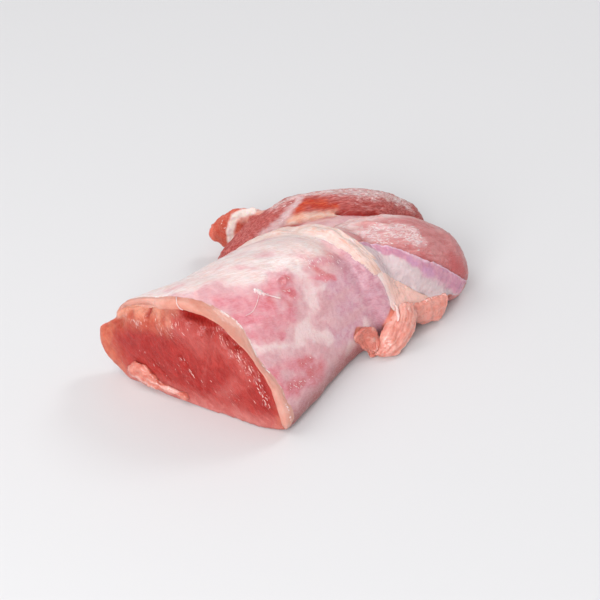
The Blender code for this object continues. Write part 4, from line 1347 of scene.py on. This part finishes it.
# %% The membrane's finish
sheer, tree, shader = meat_material("membrane", 0.8, 0.3, 0.5)
mm = place_in_mm(tree)
patch = use(tree, blotches, Place=mm, Size=4.0, Cover=0.5, Softness=0.15)["Patches"]
film = use(tree, wet_film, Grain=mm, Ripple=0.6)
base = layered(tree, blend(tree, patch, rgb(0.62, 0.475, 0.49), rgb(0.71, 0.56, 0.57)), [
    ("lilac", blend(tree, patch, rgb(0.54, 0.23, 0.33), rgb(0.66, 0.34, 0.42)), 1.0),
    ("violet", rgb(0.57, 0.30, 0.47), 0.6),
    ("fat", rgb(0.86, 0.46, 0.37), 1.0),
    ("torn", rgb(0.76, 0.50, 0.61), 1.0),
])
finish_surface(tree, shader, base, film["Height"], 0.1, 0.25, 0.42, film["Pools"])

# %% Shape the membrane
SHEET_TOP = [(25, 0.3, 34.6), (27.6, 4.6, 32.4), (32.9, 7.8, 31), (37.8, 9.8, 29.7), (42.1, 12.1, 27.5),
             (46.7, 15.8, 24.1), (49.7, 19.9, 20.8), (53.9, 25.7, 14.6), (55.7, 31.2, 8.7)]
SHEET_FOOT = [(31, -3.5, 31.8), (35, -4, 28.6), (38.6, -4.2, 24.8), (41.4, -4, 20), (43.8, -3, 15.6),
              (47, 2, 11.4), (50.4, 9, 8), (53, 17, 6), (55.6, 27, 3.5)]
LONG, TALL = 220, 50
sheet, u, v, sheet_grain = between(SHEET_TOP, SHEET_FOOT, LONG, TALL)
uneven = 0.25 + 0.5 * fade(rough(sheet, 9.0, 65.0), -0.3, 0.3)
frill = rough(np.column_stack([u, v * 3, 0 * u]), 2.6, 61.0, 3) * uneven
edge_near = fade(v, 0.14, 0.0)
proud = 0.35 + 0.2 * rough(sheet, 9.0, 62.0) + edge_near * (0.15 + 0.5 * frill)
proud = proud * fade(v, 1.0, 0.9) - 0.4 * fade(v, 0.9, 1.0)
sheet = on_body(sheet, proud)
sheet += (edge_near * 0.45 * frill)[:, None] * (0, 0.5, 0.8)
print(f"membrane: {u.max():.0f} mm long")

# %% Paint and lay the membrane
LILAC_BAND = [([(27, 3, 32.8), (32.6, 6.6, 30.6), (37.2, 8.4, 29.3), (41.6, 10.4, 27)], 2.4),
              ([(37.2, 8.4, 29.3), (41.6, 10.2, 26.8), (46, 13, 23)], 2.8),
              ([(47.2, 15, 21.8), (51.4, 20.4, 16), (54, 25.2, 11.4), (55.8, 30, 7)], 4.8)]
VIOLET = [([(42.2, 10, 26.2), (44.4, 11.4, 24.2)], 2.4), ([(46.6, 13.4, 21.6), (48.6, 15.6, 19)], 2.8)]
PEACH = [([(45.6, 4.0, 13.6), (48.4, 8.6, 11.4), (50.6, 12.4, 10)], 2.4)]
wander = 1.2 * rough(sheet, 4.0, 64.0, 3)


def sheet_mask(strokes, soft):
    return np.max([stroke(sheet, path, radius, soft, wander) for path, radius in strokes], axis=0)


sheet_masks = {
    "lilac": sheet_mask(LILAC_BAND, 0.6), "violet": sheet_mask(VIOLET, 0.9), "fat": sheet_mask(PEACH, 0.7),
    "torn": fade(v + 0.02 * frill, 0.045, 0.0),
}
make_piece("membrane", sheet, grid_faces(LONG, TALL), sheer, sheet_grain, sheet_masks)

# %% [markdown]
# ## The fold at the foot
# At the lower left of the cut face a thin fold of skin has crept out and crinkled. It is a tube with deep
# cross wrinkles, clear enough to show the flesh behind. Its crests are paler, partly as painted glints.

# %% Crinkle the fold
fold_skin = fat_material("fold_skin", rgb(0.60, 0.12, 0.078), rgb(0.74, 0.26, 0.195), rgb(0.80, 0.39, 0.33),
                         rgb(0.82, 0.52, 0.47), 1.0)
FOLD = [(*on_cut(x, z, 0.4), wide, thick, 0) for x, z, wide, thick in (
    (-29, 6.4, 1.2, 2.2), (-26.8, 6.0, 1.3, 3.2), (-23, 6.0, 1.4, 4.2), (-18.7, 4.4, 1.3, 3.2),
    (-14.0, 3.4, 1.0, 1.6), (-9.2, 3.2, 0.9, 1.3), (-5.4, 2.9, 0.9, 1.3), (-2.0, 2.8, 1.2, 1.8))]
points, faces, way_out, fold_grain = rope(FOLD, 200, (3.0, 2.0))
creased = rough(fold_grain, 2.1, 72.0, 3, (5, 1, 1))
crinkle = 0.6 * rough(points, 3.0, 71.0, 3) + 0.45 * creased
points = points + way_out * crinkle[:, None]
points[:, 2] = np.maximum(points[:, 2], 0.05)
# the crests' pale tint is partly a painted glint
make_piece("foot_fold", points, faces, fold_skin, fold_grain, {"tint": 0.7 * fade(creased, 0.15, 0.5)})

# %% [markdown]
# ## Strands and torn tags
# The trimming leaves a few hair-thin strands and small torn tags of skin, nearly white against the rest.

# %% Draw the strands
thread_rows = [int(np.argmin(np.abs(skin_line[:, 0] - at))) for at in (-7.6, -6.8, -6.0, -5.2, -4.4)]
over_rim = rim.reshape(RIM_STEPS, RIM_ACROSS, 3)[thread_rows, [6, 11, 16, 21, 26]] + (0, -0.12, 0.06)
STRAND = [(43.6, -5.4, 17), (44.8, -5.2, 15.2), (45.8, -6.2, 14.2), (46.9, -7.6, 12.9), (47.2, -8.8, 11.6)]
HAIR = [(14.6, -52.4, 39.0), (15.9, -56.0, 38.0), (16.4, -59.4, 37.3), (15.6, -62.8, 37.0)]
TORN = [(13.4, -51.6, 39.8), (15.4, -50.4, 39.4), (17.4, -49.6, 38.6), (20.6, -46.8, 36.8)]
THREADS = {
    # a path, a half width and how peach it is
    "fat_strand": (STRAND, 0.42, 0.4), "skin_line": (over_rim, 0.13, 0.0),
    "hair_line": (on_body(HAIR, 0.2), 0.09, 0.0), "torn_line": (on_body(TORN, 0.22), 0.2, 0.0),
}
for number, (name, (path, thick, peach)) in enumerate(THREADS.items()):
    rows = [(*p, 1.2 * thick, thick, 0) for p in path]
    points, faces, way_out, thread_grain = rope(rows, 90, (2 * thick, 2 * thick))
    points = points + way_out * (0.6 * thick * rough(points, 1.6, 80 + number))[:, None]
    make_piece(name, points, faces, torn_skin, thread_grain, {"tint": np.full(len(points), peach)})

# %% Tear the tags
TAG_LONG, TAG_TALL = 60, 24
TAGS = {
    # its two edges and how far it stands out
    "torn_spot": ([(11.6, -53.0, 40), (13.6, -53.0, 39.4), (15.4, -51.8, 38.8), (17.6, -49.2, 38)],
                  [(12.2, -49.4, 40.6), (14.2, -49.2, 40), (15.8, -48.8, 39.4), (17.4, -47.6, 38.6)], 0.3),
    "torn_tag": ([(36.4, -72.6, 13.6), (37.2, -72.9, 11), (37.8, -73.2, 8.4), (38.2, -73.2, 5.6)],
                 [(36.8, -72, 13.8), (38.2, -71.8, 11.2), (39.4, -71.6, 8.6), (40.2, -71.4, 6.2)], 0.5),
}
for number, (name, (first_edge, second_edge, proud)) in enumerate(TAGS.items()):
    points, u, v, tag_grain = between(first_edge, second_edge, TAG_LONG, TAG_TALL)
    height = proud + 0.8 * rough(points, 1.3, 90 + number, 3) - 0.9 * (1 - np.sin(math.pi * v))
    height -= 0.6 * fade(u, 1.5, 0) + 0.6 * fade(u, u.max() - 1.5, u.max())
    make_piece(name, on_body(points, height), grid_faces(TAG_LONG, TAG_TALL), torn_skin, tag_grain)

# %% [markdown]
# ## The table and the light
# A plain pale floor and an even grey-white world leave no hard shadow. Three large soft lamps shape the
# meat: one high on the left, a strong one low in front that wakes the glints on the cut, and a smaller one
# behind that draws the tops of the muscles.

# %% Set the table
floor_mesh = bpy.data.meshes.new("floor")
floor_mesh.from_pydata([(-3, -3, 0), (3, -3, 0), (3, 3, 0), (-3, 3, 0)], [], [(0, 1, 2, 3)])
floor = bpy.data.objects.new("floor", floor_mesh)
bpy.context.scene.collection.objects.link(floor)
matt = bpy.data.materials.new("pale_floor")
matt.use_nodes = True
matt_shader = matt.node_tree.nodes["Principled BSDF"]
matt_shader.inputs["Base Color"].default_value = rgb(0.725, 0.725, 0.735)
matt_shader.inputs["Roughness"].default_value = 0.5
floor_mesh.materials.append(matt)
print("floor:", np.ptp([corner.co.x for corner in floor_mesh.vertices]), "m wide")

# %% Hang the light
world = bpy.data.worlds.new("soft daylight")
bpy.context.scene.world = world
world.use_nodes = True
sky = world.node_tree.nodes["Background"]
sky.inputs["Color"].default_value = rgb(1.0, 0.99, 1.0)
sky.inputs["Strength"].default_value = 0.5
LIT_POINT = Vector((0, 0, 0.02))


def soft_lamp(name, place, size, power):
    """A large square lamp at a place, turned to the meat."""
    light = bpy.data.lights.new(name, "AREA")
    light.size = size
    light.energy = power
    lamp = bpy.data.objects.new(name, light)
    lamp.location = place
    lamp.rotation_mode = "QUATERNION"
    lamp.rotation_quaternion = (LIT_POINT - Vector(place)).to_track_quat("-Z", "Y")
    bpy.context.scene.collection.objects.link(lamp)
    print(f"{name}: {(LIT_POINT - Vector(place)).length:.2f} m from the meat")


soft_lamp("side_lamp", (-0.60, -0.20, 0.95), 0.8, 4.1)
soft_lamp("front_lamp", (0.19, -0.95, 0.52), 0.6, 8.2)
soft_lamp("back_lamp", (0.20, 0.75, 0.80), 0.30, 2.3)

# %% [markdown]
# ## The camera
# The camera looks down on the meat at 35 degrees, with the long axis turned 31 degrees away from the line
# of sight, and it is rolled by a little more than a degree. A long lens keeps the far end nearly as large
# as the near one.

# %% Point the camera
TURN, TILT, ROLL, DISTANCE = math.radians(31), math.radians(35), math.radians(-1.2), 0.65
target = Vector(to_frame([0, 0, 0]))
back = Vector((math.sin(TURN) * math.cos(TILT), -math.cos(TURN) * math.cos(TILT), math.sin(TILT)))
camera_data = bpy.data.cameras.new("camera")
camera_data.lens = 100
camera_data.sensor_width = 36
camera = bpy.data.objects.new("camera", camera_data)
camera.rotation_mode = "QUATERNION"
camera.location = target + back * DISTANCE
camera.rotation_quaternion = (-back).to_track_quat("-Z", "Y") @ Quaternion((0, 0, 1), ROLL)
bpy.context.scene.collection.objects.link(camera)
bpy.context.scene.camera = camera
bpy.context.scene.view_settings.view_transform = "Standard"
print(f"camera: {math.degrees(camera_data.angle):.1f} degrees wide, at", np.round(camera.location, 3))
